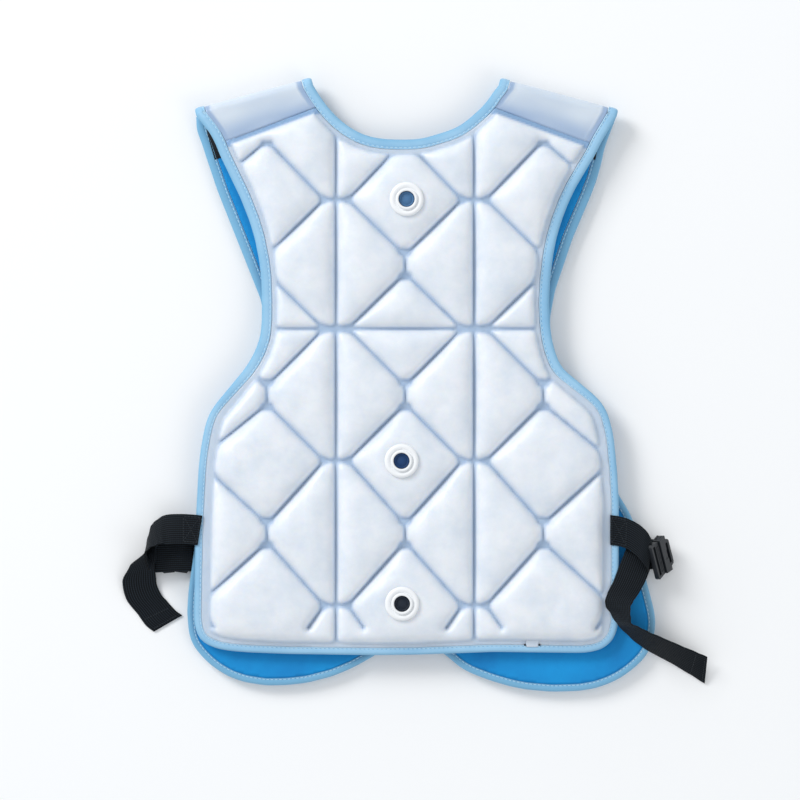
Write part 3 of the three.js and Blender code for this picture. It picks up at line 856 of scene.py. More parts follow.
@dataclass
class Quilt:
    """A filled film pad: cells blown up between weld lines on a flat weld margin."""

    layout: Layout
    name: str
    node: str
    face: Face
    crown: float
    base: float = 2 * MM
    step: float = 1.7 * MM
    margin: float = 4 * MM
    side_margin: float = 8 * MM
    hem_margin: float = 4 * MM
    weld_half: float = 0.6 * MM
    pitch: float = 138 * MM
    top_half: float = 56 * MM
    link: float = 24 * MM
    stub: tuple = (15.5 * MM, 22 * MM)
    tip: float = 3.2 * MM
    star: float = 12 * MM
    softness: float = 2.0 * MM
    membrane: float = 16 * MM
    grip: float = 4000.0
    rounds: int = 320
    rows: tuple = ((0.787, False), (0.564, True), (0.336, False), (0.086, False))
    length: float = 578 * MM
    hem_zone: tuple = (40 * MM, 30 * MM)
    lip: float = 3.5 * MM
    shoulder: float = 7 * MM
    round_share: float = 0.32
    pillow_share: float = 0.68
    tight: float = 12 * MM
    held: float = 1.5 * MM
    # The weld colour is the film's own blue at the welds; its extra depth on the inner weld lines over
    # the flat margin, fading up the cell walls, is painted shade in the grooves.
    weld_tone: tuple = (0.42, 0.26, 2.5 * MM)
    strip_from: float = 0.8
    strip_tone: tuple = (0.95, 9 * MM, 3 * MM)
    weld_fade: float = 2.1 * MM
    wrinkle_fade: tuple = (0.8 * MM, 3 * MM)
    seats: tuple = ()
    seat_radius: float = 18.5 * MM
    seat_fade: float = 11 * MM
    blown: bool = False
    blank_rise: float = 0.8
    blank_step: float = 4.6 * MM
    blank_held: float = 1.6 * MM
    pressure: float = 3.0
    slack: float = 0.05
    frames: int = 18
    wrinkle: float = 1.1 * MM
    wrinkle_share: float = 0.42
    plain_wrinkle: float = 0.5 * MM
    plain_scale: float = 45.0

    def outline(self) -> np.ndarray:
        """Cuts the cloth's outline off at the shoulder bands.

        Returns:
            The pad's edge.
        """
        loop = self.layout.widened(plate_outline(self.node.replace("pad", "shell")))
        parts = []
        for a, b in zip(np.roll(loop, 1, axis=0), loop):
            before, after = self.layout.band_gap(a), self.layout.band_gap(b)
            if (before > 0) != (after > 0):
                parts.append(a + (b - a) * before / (before - after))
            if after > 0:
                parts.append(b)
        return divided(parts, 4 * MM)

    def lines(self) -> tuple[np.ndarray, np.ndarray]:
        """Draws the weld lines: two long ones, and diamonds that meet in links at each level.

        Returns:
            Their start points and their end points.
        """
        half = self.pitch / 2
        levels = [row[0] * self.length for row in self.rows]
        ups = [self.top_half] + [(a - b - self.link) / 2 for a, b in zip(levels, levels[1:])]
        downs = ups[1:] + [0]
        found = [((side * half, self.length), (side * half, -self.length)) for side in (-1, 1)]
        for k, (level, (_, across)) in enumerate(zip(levels, self.rows)):
            if across:
                found.append(((-2 * self.pitch, level), (2 * self.pitch, level)))
            for side in (-1, 1):
                found.append(((side * half - self.star, level), (side * half + self.star, level)))
            for column in (-1, 0, 1):
                x = column * self.pitch
                for side in (-1, 1):
                    outside = abs(x + side * half) > self.pitch
                    start = (x + side * (half - (0 if outside else self.star)), level)
                    found.append((start, (x + side * self.tip, level + ups[k])))
                    if downs[k]:
                        end = (x + side * self.tip, level - downs[k])
                    else:
                        end = (start[0] - side * self.stub[0], level - self.stub[1])
                    found.append((start, end))
                for tip in {level + ups[k], level - downs[k]} - {level}:
                    found.append(((x - self.tip, tip), (x + self.tip, tip)))
                if k > 0:
                    found.append(((x, level + ups[k]), (x, level + ups[k] + self.link)))
        return tuple(self.layout.origin + np.array([row[n] for row in found]) for n in (0, 1))

    def heights(self, points: np.ndarray, grid: PanelGrid) -> tuple[np.ndarray, ...]:
        """Height of the film over its weld plane, its clearance from the welds and the rim.

        Args:
            points: Points in the plane.
            grid: The pad's panel.

        Returns:
            Heights, clearances and distances inside the margin, in metres.
        """
        starts, ends = self.lines()
        zone, zone_fade = self.hem_zone
        low = np.clip((self.layout.origin[1] + zone - points[:, 1]) / zone_fade, 0, 1)
        margin = self.margin + self.layout.below_arms(points) * (self.side_margin - self.margin)
        rim = grid.rim_distance(points) - margin - low * (self.hem_margin - self.side_margin)
        clear = np.zeros(len(points))
        for block in np.array_split(np.arange(len(points)), max(1, len(points) // 8000)):
            gaps = nearest_on(points[block], starts, ends)[0]
            inside = np.maximum(rim[block] + self.weld_half, 0)
            total = np.exp(-gaps / self.softness).sum(1) + np.exp(-inside / self.softness)
            clear[block] = np.maximum(-self.softness * np.log(total) - self.weld_half, 0)
        edge = np.clip(clear / self.lip, 0, 1)
        pillow = self.inflate(points, clear, grid) * edge * (2 - edge)
        shape = self.round_share * self.rise(clear / self.shoulder) + self.pillow_share * pillow
        return self.crown * shape, clear, rim

    def inflate(self, points: np.ndarray, clear: np.ndarray, grid: PanelGrid) -> np.ndarray:
        """Shape of a skin under even pressure, held down at its welds.

        Args:
            points: Points in the plane.
            clear: Their clearances from the welds.
            grid: The pad's panel.

        Returns:
            Heights from 0 to 1.
        """
        inner = np.ones(len(points), bool)
        inner[grid.ring] = False
        cell = np.round((points[inner] - grid.outline.min(0)) / grid.step).astype(int) + 1
        i, j = cell.T
        table, hold = np.zeros(cell.max(0) + 2), np.full(cell.max(0) + 2, self.grip)
        table[i, j] = np.clip(clear[inner] / self.tight, 0, 1)
        hold[i, j] = self.grip * np.clip(1 - clear[inner] / self.held, 0, 1)
        pull = (self.membrane / grid.step) ** 2
        for _ in range(self.rounds):
            table = (1 + pull * self.around(table)) / (1 + hold + 4 * pull)
        height = np.zeros(len(points))
        height[inner] = 1 - (1 - table[i, j] / table.max()) ** 2
        return height

    @staticmethod
    def around(table: np.ndarray) -> np.ndarray:
        """The sum of each cell's four neighbours."""
        return (np.roll(table, 1, 0) + np.roll(table, -1, 0)
                + np.roll(table, 1, 1) + np.roll(table, -1, 1))

    @staticmethod
    def rise(x: np.ndarray) -> np.ndarray:
        """Quarter round from 0 to 1."""
        return np.sqrt(np.clip(1 - (1 - np.clip(x, 0, 1)) ** 2, 0, 1))

    def blow(self, blank: PanelGrid) -> np.ndarray:
        """Blows the film up as cloth under pressure, held at its welds.

        Args:
            blank: The film's panel in coarse squares.

        Returns:
            How far each point of the panel ends above its plain pillow.
        """
        height, clear, _ = self.heights(blank.points, blank)
        start = self.blank_rise * height
        skin = mesh_piece("film_blank", np.column_stack([blank.points, start]), blank.faces,
                          PAD_FILM.material())
        held = skin.vertex_groups.new(name="weld")
        held.add([int(k) for k in np.flatnonzero(clear < self.blank_held)], 1.0, "REPLACE")
        cloth = skin.modifiers.new("film", "CLOTH")
        for name, value in {
                "quality": 5, "mass": 0.15, "tension_stiffness": 25, "compression_stiffness": 25,
                "shear_stiffness": 10, "bending_stiffness": 0.15, "air_damping": 3,
                "use_pressure": True, "uniform_pressure_force": self.pressure,
                "shrink_min": -self.slack, "vertex_group_mass": "weld"}.items():
            setattr(cloth.settings, name, value)
        cloth.settings.effector_weights.gravity = 0
        cloth.collision_settings.use_collision = False
        for number in range(1, self.frames + 1):
            bpy.context.scene.frame_set(number)
        blown = skin.evaluated_get(bpy.context.evaluated_depsgraph_get())
        co = np.zeros(len(blank.points) * 3)
        blown.data.vertices.foreach_get("co", co)
        risen = co.reshape(-1, 3)[:, 2] - start
        bpy.data.objects.remove(skin)
        bpy.context.scene.frame_set(1)
        LOG.info("%s: film rose %.1f to %.1f mm", self.name, risen.min() / MM, risen.max() / MM)
        return risen

    def wrinkles(self, points: np.ndarray, grid: PanelGrid) -> np.ndarray:
        """The blown film's own wrinkles at finer points.

        Args:
            points: Points in the plane.
            grid: The pad's panel.

        Returns:
            Heights to add to the plain pillow.
        """
        if not self.blown:
            scale = self.plain_scale
            return np.array([self.plain_wrinkle * noise.noise(Vector((x * scale, y * scale, 0.3)))
                             for x, y in points])
        blank = PanelGrid(grid.outline, self.blank_step)
        low = grid.outline.min(0)
        cell = np.round((blank.points - low) / self.blank_step).astype(int)
        inner = np.ones(len(cell), bool)
        inner[blank.ring] = False
        column, row = cell[inner].T
        table = np.zeros(cell.max(0) + 3)
        known = np.zeros(table.shape)
        table[column, row] = self.blow(blank)[inner]
        known[column, row] = 1
        wide = table.copy()
        for _ in range(6):
            wide = (wide + np.roll(wide, 1, 0) + np.roll(wide, -1, 0)
                    + np.roll(wide, 1, 1) + np.roll(wide, -1, 1)) / 5
        fine = np.where(known > 0, table - wide, 0)
        for _ in range(2):
            fine = (2 * fine + np.roll(fine, 1, 0) + np.roll(fine, -1, 0)
                    + np.roll(fine, 1, 1) + np.roll(fine, -1, 1)) / 6
        place = (points - low) / self.blank_step
        i, j = np.floor(place).astype(int).T
        u, v = eased(place - np.floor(place)).T
        mixed = (fine[i, j] * (1 - u) * (1 - v) + fine[i + 1, j] * u * (1 - v)
                 + fine[i, j + 1] * (1 - u) * v + fine[i + 1, j + 1] * u * v)
        LOG.info("%s: wrinkles %.2f mm deep", self.name, np.abs(mixed).max() / MM)
        return self.wrinkle * np.tanh(self.wrinkle_share * mixed / self.wrinkle)

    def tones(self, points: np.ndarray, clear: np.ndarray, rim: np.ndarray) -> np.ndarray:
        """How much each point takes the weld colour: least at the edge, deeper on the inner weld lines,
        where the extra depth is painted shade in the grooves, most at the bands.

        Args:
            points: Points in the plane.
            clear: Their clearances from the welds.
            rim: Their distances inside the margin.

        Returns:
            Shares from 0 to 1.
        """
        least, more, near = self.weld_tone
        # Painted shade: the inner weld lines take more of the weld colour than the flat margin, and the
        # tint fades up the cell walls beside each weld.
        tone = least + more * np.clip(rim / near, 0, 1)
        high = np.flatnonzero(points[:, 1] > self.layout.origin[1]
                              + self.strip_from * SHOULDER_HEIGHT)
        gap = np.array([self.layout.band_gap(point) for point in points[high]])
        most, deep, fade = self.strip_tone
        tone[high] = np.maximum(tone[high], most * np.clip((deep - gap) / fade, 0, 1))
        return tone * np.clip(1 - clear / self.weld_fade, 0, 1)

    def seated(self, points: np.ndarray, height: np.ndarray) -> np.ndarray:
        """Brings the film to its full height round each valve.

        Args:
            points: Points in the plane.
            height: The film's heights there.

        Returns:
            The new heights, none above the crown.
        """
        for seat in self.seats:
            away = np.linalg.norm(points - seat, axis=1)
            share = eased(np.clip((self.seat_radius + self.seat_fade - away) / self.seat_fade, 0, 1))
            height = height * (1 - share) + self.crown * share
        return np.clip(height, 0, self.crown)

    def build(self) -> None:
        """Makes the pad and puts it in place of its node."""
        grid = PanelGrid(self.outline(), self.step)
        points, ring, faces = grid.points, grid.ring, list(grid.faces)
        height, clear, rim = self.heights(points, grid)
        calm, fade = self.wrinkle_fade
        height = height + np.clip((clear - calm) / fade, 0, 1) * self.wrinkles(points, grid)
        weld = self.tones(points, clear, rim)
        height = self.seated(points, height)
        height[ring] = 0
        flip = self.face.value
        low, high = node_box(self.node)
        back = low.z if flip > 0 else high.z
        verts = np.column_stack([points, back + flip * (self.base + height)])
        start, size = len(verts), len(ring)
        verts = np.vstack([verts, np.column_stack([points[ring], np.full(size, back)])])
        for k in range(size):
            faces.append([ring[k], start + k, start + (k + 1) % size, ring[(k + 1) % size]])
        faces.append([start + k for k in range(size)][::-1])
        if flip < 0:
            faces = [f[::-1] for f in faces]
        piece = mesh_piece(self.name, verts, faces, PAD_FILM.material(),
                           weld=np.concatenate([weld, np.ones(size)]))
        dress(piece, "pad_film", self.node)


# Cloth sheets


@dataclass
class ClothSheet:
    """A flat cloth panel with slack folds and its own thickness."""

    layout: Layout
    name: str
    node: str
    slack: float
    lies_on: str
    under: str = ""
    step: float = 3 * MM
    hold: float = 12 * MM
    patch_hold: float = 10 * MM

    def lift(self, grid: PanelGrid) -> np.ndarray:
        """Lays the cloth's slack in folds, flat at its edge and under a patch.

        Args:
            grid: The cloth's panel.

        Returns:
            How far each point is lifted.
        """
        points = grid.points
        ease = np.clip(grid.rim_distance(points) / self.hold, 0, 1)
        if self.under:
            low, high = node_box(self.under)
            gap = np.maximum(np.maximum(low.x - points[:, 0], points[:, 0] - high.x),
                             np.maximum(low.y - points[:, 1], points[:, 1] - high.y))
            ease *= np.clip(gap / self.patch_hold, 0, 1)
        folds = np.array([0.75 * (0.5 + noise.noise(Vector((x * 17, y * 9, 1.7))))
                          + 0.5 * abs(noise.noise(Vector((x * 70, y * 22, 4.1))))
                          for x, y in points])
        return self.slack * ease * np.clip(folds, 0, 1)

    def build(self) -> None:
        """Makes the sheet and puts it in place of its node."""
        loop = self.layout.widened(plate_outline(self.node))
        grid = PanelGrid(divided(loop, self.step), self.step)
        points, ring, size = grid.points, grid.ring, len(grid.points)
        lift = self.lift(grid)
        low, high = node_box(self.node)
        verts = np.vstack([np.column_stack([points, high.z + lift]),
                           np.column_stack([points, low.z + lift])])
        faces = grid.faces + [[v + size for v in f[::-1]] for f in grid.faces]
        faces += [[a, a + size, b + size, b] for a, b in zip(ring, ring[1:] + ring[:1])]
        piece = mesh_piece(self.name, verts, faces, SHELL_CLOTH.material())
        dress(piece, "shell_cloth", self.node)


# Edge tape with its stitching


@dataclass
class EdgeTape:
    """Woven tape bound round an edge, over the shoulder folds, with a row of stitches."""

    layout: Layout
    width: float = 10 * MM
    thickness: float = 5.2 * MM
    spacing: float = 3 * MM
    fold_steps: int = 14
    fold_clearance: float = 0.5 * MM
    flare: float = 5 * MM
    flare_depth: float = 46 * MM
    swell: float = 0.06
    stitch_length: float = 2.9 * MM
    stitch_pitch: float = 4.4 * MM
    stitch_radius: float = 0.38 * MM
    stitch_row: float = 8.2 * MM
    stitch_sink: float = 0.45 * MM

    @property
    def fold_z(self) -> float:
        """Height of the shoulder folds' axis."""
        return (node_box("front_shell_left")[1].z + node_box("back_shell")[0].z) / 2

    @property
    def radius(self) -> float:
        """Radius at which the tape's middle goes round a fold."""
        return node_box("back_edge_binding")[1].z - self.thickness / 2 - self.fold_z

    @property
    def reach(self) -> float:
        """Depth below the fold at which the flat part starts."""
        return self.radius + self.thickness / 2

    def edge_line(self, inner: np.ndarray, outward: float) -> np.ndarray:
        """Outer edge line of the tape from the cloth's edge line.

        Args:
            inner: The cloth's edge, in its travel.
            outward: Inset distance, signed for the side that is outward.

        Returns:
            The tape's outer edge, from fold to fold.
        """
        fine = smooth_line(inner, self.spacing)
        normals = line_normals(fine)
        moved = fine - outward * normals
        for k, point in enumerate(moved):
            corner, along, down = self.layout.shoulder_near(point)
            near = max(0, 1 - (point - corner) @ down / self.flare_depth)
            if (point - corner) @ along < self.flare_depth:
                moved[k] -= along * self.flare * near * near * (3 - 2 * near)
        depth = self.layout.depth
        for _ in range(2):
            while depth(moved[-1]) <= self.reach + self.fold_clearance:
                moved = moved[:-1]
            way = moved[-1] - moved[-4]
            way /= np.linalg.norm(way)
            gain = depth(moved[-1] + way * MM) - depth(moved[-1])
            end = moved[-1] + way * MM * (self.reach - depth(moved[-1])) / gain
            moved = np.vstack([moved, end])[::-1]
        return moved

    def stations(self, line: np.ndarray, face: Face, folds: bool) -> tuple[np.ndarray, np.ndarray]:
        """Points and outward normals along the tape's outer edge.

        Args:
            line: The outer edge in the plane.
            face: Whether it runs on the back or under it on the fronts.
            folds: Whether it goes on round the shoulder folds at both ends.

        Returns:
            Points and normals in space.
        """
        flat = np.column_stack([line, np.full(len(line), self.fold_z + face.value * self.radius)])
        up = np.tile([0.0, 0.0, float(face.value)], (len(line), 1))
        if not folds:
            return flat, up
        bends = []
        for point in (line[0], line[-1]):
            down = self.layout.shoulder_near(point)[2]
            angles = np.linspace(0, math.pi, self.fold_steps + 1)[1:]
            normals = np.column_stack([np.outer(-np.sin(angles), down), np.cos(angles)])
            bends.append((np.array([*point, self.fold_z]) + self.radius * normals, normals))
        (first, first_up), (last, last_up) = bends
        return np.vstack([first[::-1], flat, last]), np.vstack([first_up[::-1], up, last_up])

    def build(self, name: str, node: str, points: np.ndarray, normals: np.ndarray) -> None:
        """Makes one length of tape with its stitches.

        Args:
            name: The piece's name.
            node: The node that it stands for.
            points: Points along its outer edge.
            normals: Outward normals there.
        """
        travel = unit(np.gradient(points, axis=0))
        across = unit(np.cross(normals, travel))
        run = run_along(points)
        section = tape_section(self.width, self.thickness)
        around = run_along(section)
        thick = [1 + self.swell * noise.noise(Vector((s * 60, 0.4, 0.2))) for s in run]
        slim = 1 - TAPE_SLIMMING / self.width * self.layout.below_arms(points)
        rings = [points[k] + np.outer(section[:, 0] * slim[k], across[k])
                 + np.outer(section[:, 1] * thick[k], normals[k]) for k in range(len(points))]
        verts, faces = loft(np.array(rings))
        uv = np.array([(a, s) for s in run for a in around])
        piece = mesh_piece(name, verts, faces, BINDING_TAPE.material(), uv=uv)
        dress(piece, "binding_tape", node)
        self.stitches(f"{name}_stitches", run, points, normals, travel, across * slim[:, None])

    def stitches(self, name: str, run: np.ndarray, points: np.ndarray, normals: np.ndarray,
                 travel: np.ndarray, across: np.ndarray) -> None:
        """Rows of thread, half sunk in both faces of the tape.

        Args:
            name: The piece's name.
            run: Distance along the tape at each point.
            points: Points along the outer edge.
            normals: Outward normals.
            travel: Directions of travel.
            across: Directions into the panel.
        """
        at = np.arange(self.stitch_pitch, run[-1] - self.stitch_pitch, self.stitch_pitch)
        place, up, way, into = (np.column_stack([np.interp(at, run, v[:, k]) for k in range(3)])
                                for v in (points, normals, travel, across))
        shapes, faces = [], []
        flank = unit(into)
        high = self.thickness / 2 - self.stitch_sink
        for sign in (1, -1):
            centre = place + into * self.stitch_row + sign * up * high
            for along, size in ((-0.5, 0.35), (-0.32, 1), (0.32, 1), (0.5, 0.35)):
                for corner in range(6):
                    angle = corner * math.pi / 3
                    shapes.append(centre + way * along * self.stitch_length
                                  + flank * math.cos(angle) * size * self.stitch_radius
                                  + sign * up * math.sin(angle) * size * self.stitch_radius)
        verts = np.stack(shapes, 1).reshape(-1, 3)
        for stitch in range(2 * len(at)):
            base = stitch // 2 * 48 + stitch % 2 * 24
            for ring in range(3):
                for corner in range(6):
                    a, b = base + ring * 6 + corner, base + ring * 6 + (corner + 1) % 6
                    faces.append([a, b, b + 6, a + 6])
            faces.append([base + k for k in range(6)][::-1])
            faces.append([base + 18 + k for k in range(6)])
        dress(mesh_piece(name, verts, faces, THREAD.material()), "binding_tape")

    def build_all(self) -> dict[str, np.ndarray]:
        """Makes every length of tape.

        Returns:
            The outer edge lines by node.
        """
        edge, neck = self.layout.split(plate_outline("back_shell"))
        if edge[:, 1].min() > neck[:, 1].min():
            edge, neck = neck, edge
        lines = {"back_edge_binding": self.edge_line(edge, INSET),
                 "neck_binding": self.edge_line(neck, INSET)}
        for node, line in lines.items():
            self.build(f"{node}_tape", node, *self.stations(line, Face.UP, True))
        for side in Side:
            node = f"front_binding_{side.label}"
            path = self.layout.split(plate_outline(f"front_shell_{side.label}"))[0][::-1]
            lines[node] = self.edge_line(path, -INSET)
            self.build(f"{node}_tape", node, *self.stations(lines[node], Face.DOWN, False))
        return lines


# Shoulder bands


@dataclass
class ShoulderFold:
    """A sheet folded over a shoulder, from the armhole tape to the neck tape."""

    layout: Layout
    side: Side
    tape: EdgeTape
    lines: dict
    spacing: float = 2.5 * MM
    arc_steps: int = 14
    clearance: float = 0.15 * MM
    columns: int = 72
    seam: float = 6.2 * MM
    ridge: tuple = (0.7 * MM, 0.8 * MM)
    puff: tuple = (0.5 * MM, 5 * MM)
    ripple: tuple = (0.5 * MM, 8 * MM)
    lining_ripple: float = 0.3
    insets: tuple = (1.03, 1.035)
    span_depth: float = 70 * MM
    seam_weld: float = 0.85
    # Painted shade on the band's legs: how dark it gets at the leg's end, how fast it deepens down the
    # leg, and how much it streaks with the ripples.
    leg_weld: tuple = (0.8, 1.3, 0.25)

    def span(self, line: np.ndarray, depth: float) -> float:
        """Finds where an edge line passes a depth.

        Args:
            line: The tape's outer edge.
            depth: Depth below the fold.

        Returns:
            The place along the fold.
        """
        corner, along, down = self.layout.shoulder(self.side)
        local = np.column_stack([(line - corner) @ along, (line - corner) @ down])
        near = local[:, 1] < self.span_depth
        near &= np.sign(line[:, 0] - self.layout.origin[0]) == self.side.value
        picked = local[near][np.argsort(local[near][:, 1])]
        return float(np.interp(depth, picked[:, 1], picked[:, 0]))

    def edges(self) -> tuple:
        """Pairs the back's tape lines with the front's beside them.

        Returns:
            The armhole's pair and the neck's.
        """
        front = self.lines[f"front_binding_{self.side.label}"]
        halves = (front[-len(front) // 3:], front[: len(front) // 4])
        if self.side is Side.RIGHT:
            halves = (front[: len(front) // 3], front[-len(front) // 4:])
        return tuple(zip(("back_edge_binding", "neck_binding"), halves))

    def row(self, share_down: float, angle: float, columns: int, film: bool, leg: float,
            radius: float, thickness: float) -> tuple[list, list, list]:
        """Lays one row of the sheet, from the armhole's tape to the neck's.

        Args:
            share_down: How far down its leg the row lies, from 0 to 1.
            angle: How far round the fold it lies.
            columns: Steps along it.
            film: Whether it is the outer film, which is welded and puffed.
            leg: Depth below the fold at which the lining's legs end.
            radius: Radius of the sheet's middle round the fold.
            thickness: Its thickness.

        Returns:
            Points outside, points inside, and how much each takes the weld colour: the seam's weld, and
            painted shade that deepens down the leg with streaks along its ripples.
        """
        corner, along, down = self.layout.shoulder(self.side)
        reach, inset, under = self.tape.reach, self.tape.width + self.clearance, angle / math.pi
        most, power, rough = self.leg_weld
        outer, inner, weld = [], [], []
        for column in range(columns + 1):
            share = column / columns
            guess = BAND_SPAN[0] + (BAND_SPAN[1] - BAND_SPAN[0]) * share
            end = self.layout.band_leg(guess) if film else leg
            depth = reach + (end - reach) * share_down
            arm, neck = (self.span(self.lines[key], depth) * (1 - under)
                         + self.span(half, depth) * under for key, half in self.edges())
            low, high = arm + inset * self.insets[0], neck - inset * self.insets[1]
            place = low + (high - low) * share
            gap = min(place - low, high - place)
            ripple = noise.noise(Vector((place * 30, depth * 75 + angle * 0.8, 2.2)))
            rise = self.ripple[0] * abs(ripple) * min(1, gap / self.ripple[1])
            if film:
                rise += self.ridge[0] * math.exp(-((gap - self.seam) / self.ridge[1]) ** 2)
                rise += self.puff[0] * min(1, max(0, gap - self.seam) / self.puff[1])
            swell = thickness / 2 + rise * (1 if film else self.lining_ripple)
            normal = np.array([*(-down * math.sin(angle)), math.cos(angle)])
            axis = np.array([*(corner + along * place + down * depth), self.tape.fold_z])
            outer.append(axis + normal * (radius + swell))
            inner.append(axis + normal * (radius - thickness / 2))
            outside = 1 / (1 + math.exp((gap - self.seam + 1 * MM) / (0.5 * MM)))
            # The seam's weld, and past it painted shade that darkens the leg towards its lower edge,
            # streaked along its ripples.
            weld.append(max(self.seam_weld * outside, most * share_down ** power + rough * ripple))
        return outer, inner, weld

    def build(self, name: str, node: str, slot: str, finish: Finish, radius: float,
              thickness: float, leg: float) -> None:
        """Makes the folded sheet.

        Args:
            name: The piece's name.
            node: The node that it stands for.
            slot: The record's material slot.
            finish: Its finish.
            radius: Radius of its middle round the fold.
            thickness: Its thickness.
            leg: Depth below the fold at which its legs end.
        """
        film = slot == "shoulder_film"
        legs = max(3, int((leg - self.tape.reach) / self.spacing))
        back = [(1 - k / legs, 0.0) for k in range(legs)]
        arc = [(0.0, math.pi * k / self.arc_steps) for k in range(self.arc_steps + 1)]
        path = back + arc + [(d, math.pi) for d, _ in back[::-1]]
        columns = self.columns if film else self.columns // 2
        outside, inside, welds = zip(*(self.row(share, angle, columns, film, leg, radius, thickness)
                                       for share, angle in path))
        rows, wide = len(path), columns + 1
        size = rows * wide
        faces = []
        for r in range(rows - 1):
            for c in range(columns):
                a = r * wide + c
                faces.append([a, a + wide, a + wide + 1, a + 1])
                faces.append([a + size, a + size + 1, a + size + wide + 1, a + size + wide])
            for c, order in ((0, 1), (columns, -1)):
                a = r * wide + c
                faces.append([a, a + size, a + size + wide, a + wide][::order])
        for r, order in ((0, 1), (rows - 1, -1)):
            for c in range(columns):
                a = r * wide + c
                faces.append([a, a + 1, a + size + 1, a + size][::order])
        if self.side is Side.RIGHT:
            faces = [f[::-1] for f in faces]
        piece = mesh_piece(name, np.array(outside + inside).reshape(-1, 3), faces,
                           finish.material(), weld=np.tile(np.array(welds).ravel(), 2))
        dress(piece, slot, node)


# Valves


@dataclass
class Valve:
    """A round filling valve: a soft ring with a raised lip and a plug in its hole."""

    number: int
    sides: int = 72
    radius: float = 17 * MM
    hole: float = 8 * MM
    height: float = 5 * MM

    def turned(self, name: str, profile: list, finish: Finish, slot: str, node: str,
               hollow: bool) -> None:
        """Makes a round piece from its profile.

        Args:
            name: The piece's name.
            profile: Radius and height pairs, anticlockwise for a ring.
            finish: Its finish.
            slot: The record's material slot.
            node: The node that it stands for.
            hollow: Whether the profile closes on itself round a hole.
        """
        seat = valve_seat(self.number)
        rings = []
        for step in range(self.sides):
            angle = 2 * math.pi * step / self.sides
            rings.append([seat + np.array([r * math.cos(angle), r * math.sin(angle), z])
                          for r, z in profile])
        rings = np.array(rings)
        count = len(profile)
        faces = []
        for k in range(self.sides):
            a, b = k * count, (k + 1) % self.sides * count
            for i in range(count if hollow else count - 1):
                j = (i + 1) % count
                faces.append([a + i, b + i, b + j, a + j])
        if not hollow:
            faces.append([k * count for k in range(self.sides)][::-1])
            faces.append([k * count + count - 1 for k in range(self.sides)])
        piece = mesh_piece(name, rings.reshape(-1, 3), faces, finish.material())
        dress(piece, slot, node)

    def build(self) -> None:
        """Makes the ring and the plug."""
        r, h, top = self.radius, self.hole, self.height
        foot = [(h, 0), (r - 0.4 * MM, 0), (r, 0.5 * MM), (r, 1.2 * MM), (r - 0.35 * MM, 2.2 * MM)]
        rim = [(r - 1.2 * MM, 3.1 * MM), (r - 2.5 * MM, 3.55 * MM), (r - 3.8 * MM, 3.4 * MM),
               (r - 4.8 * MM, 2.7 * MM), (r - 5.4 * MM, 1.8 * MM)]
        lip = [(h + 3.2 * MM, 1.6 * MM), (h + 2.7 * MM, 2 * MM), (h + 2.6 * MM, 3.6 * MM),
               (h + 2.3 * MM, top - 0.3 * MM), (h + 1.9 * MM, top), (h + 0.6 * MM, top),
               (h + 0.1 * MM, top - 0.4 * MM), (h, top - 1 * MM)]
        self.turned(f"valve_{self.number}_ring", foot + rim + lip, VALVE_PLASTIC, "valve_plastic",
                    f"valve_ring_{self.number}", True)
        plug = [(h - 0.3 * MM, 0), (h - 0.3 * MM, 1.1 * MM), (h - 0.8 * MM, 1.5 * MM),
                (h - 1.6 * MM, 1.5 * MM), (h - 1.8 * MM, 1.1 * MM), (h - 2.6 * MM, 1.1 * MM),
                (h - 2.8 * MM, 1.4 * MM), (0.3 * MM, 1.4 * MM)]
        self.turned(f"valve_{self.number}_plug", plug, PLUGS[self.number - 1],
                    f"valve_plug_{self.number}", f"valve_plug_{self.number}", False)


# Webbing and buckles


@dataclass
class Heights:
    """Heights at which webbing lies on what carries it."""

    gap: float = 0.3 * MM
    web: float = 1.6 * MM
    buckle: float = 8 * MM

    @property
    def binding(self) -> float:
        """On the back's edge tape."""
        return node_box("back_edge_binding")[1].z + self.gap + self.web / 2

    @property
    def flap(self) -> float:
        """On the front flaps' tape."""
        return node_box("front_binding_right")[1].z + self.gap + self.web / 2

    @property
    def under(self) -> float:
        """Under the front flaps' tape."""
        return node_box("front_binding_right")[0].z - self.gap - self.web / 2

    @property
    def floor(self) -> float:
        """On the floor."""
        return self.gap + self.web / 2

    @property
    def on_buckle(self) -> float:
        """On the left buckle."""
        return self.floor + self.buckle + self.gap


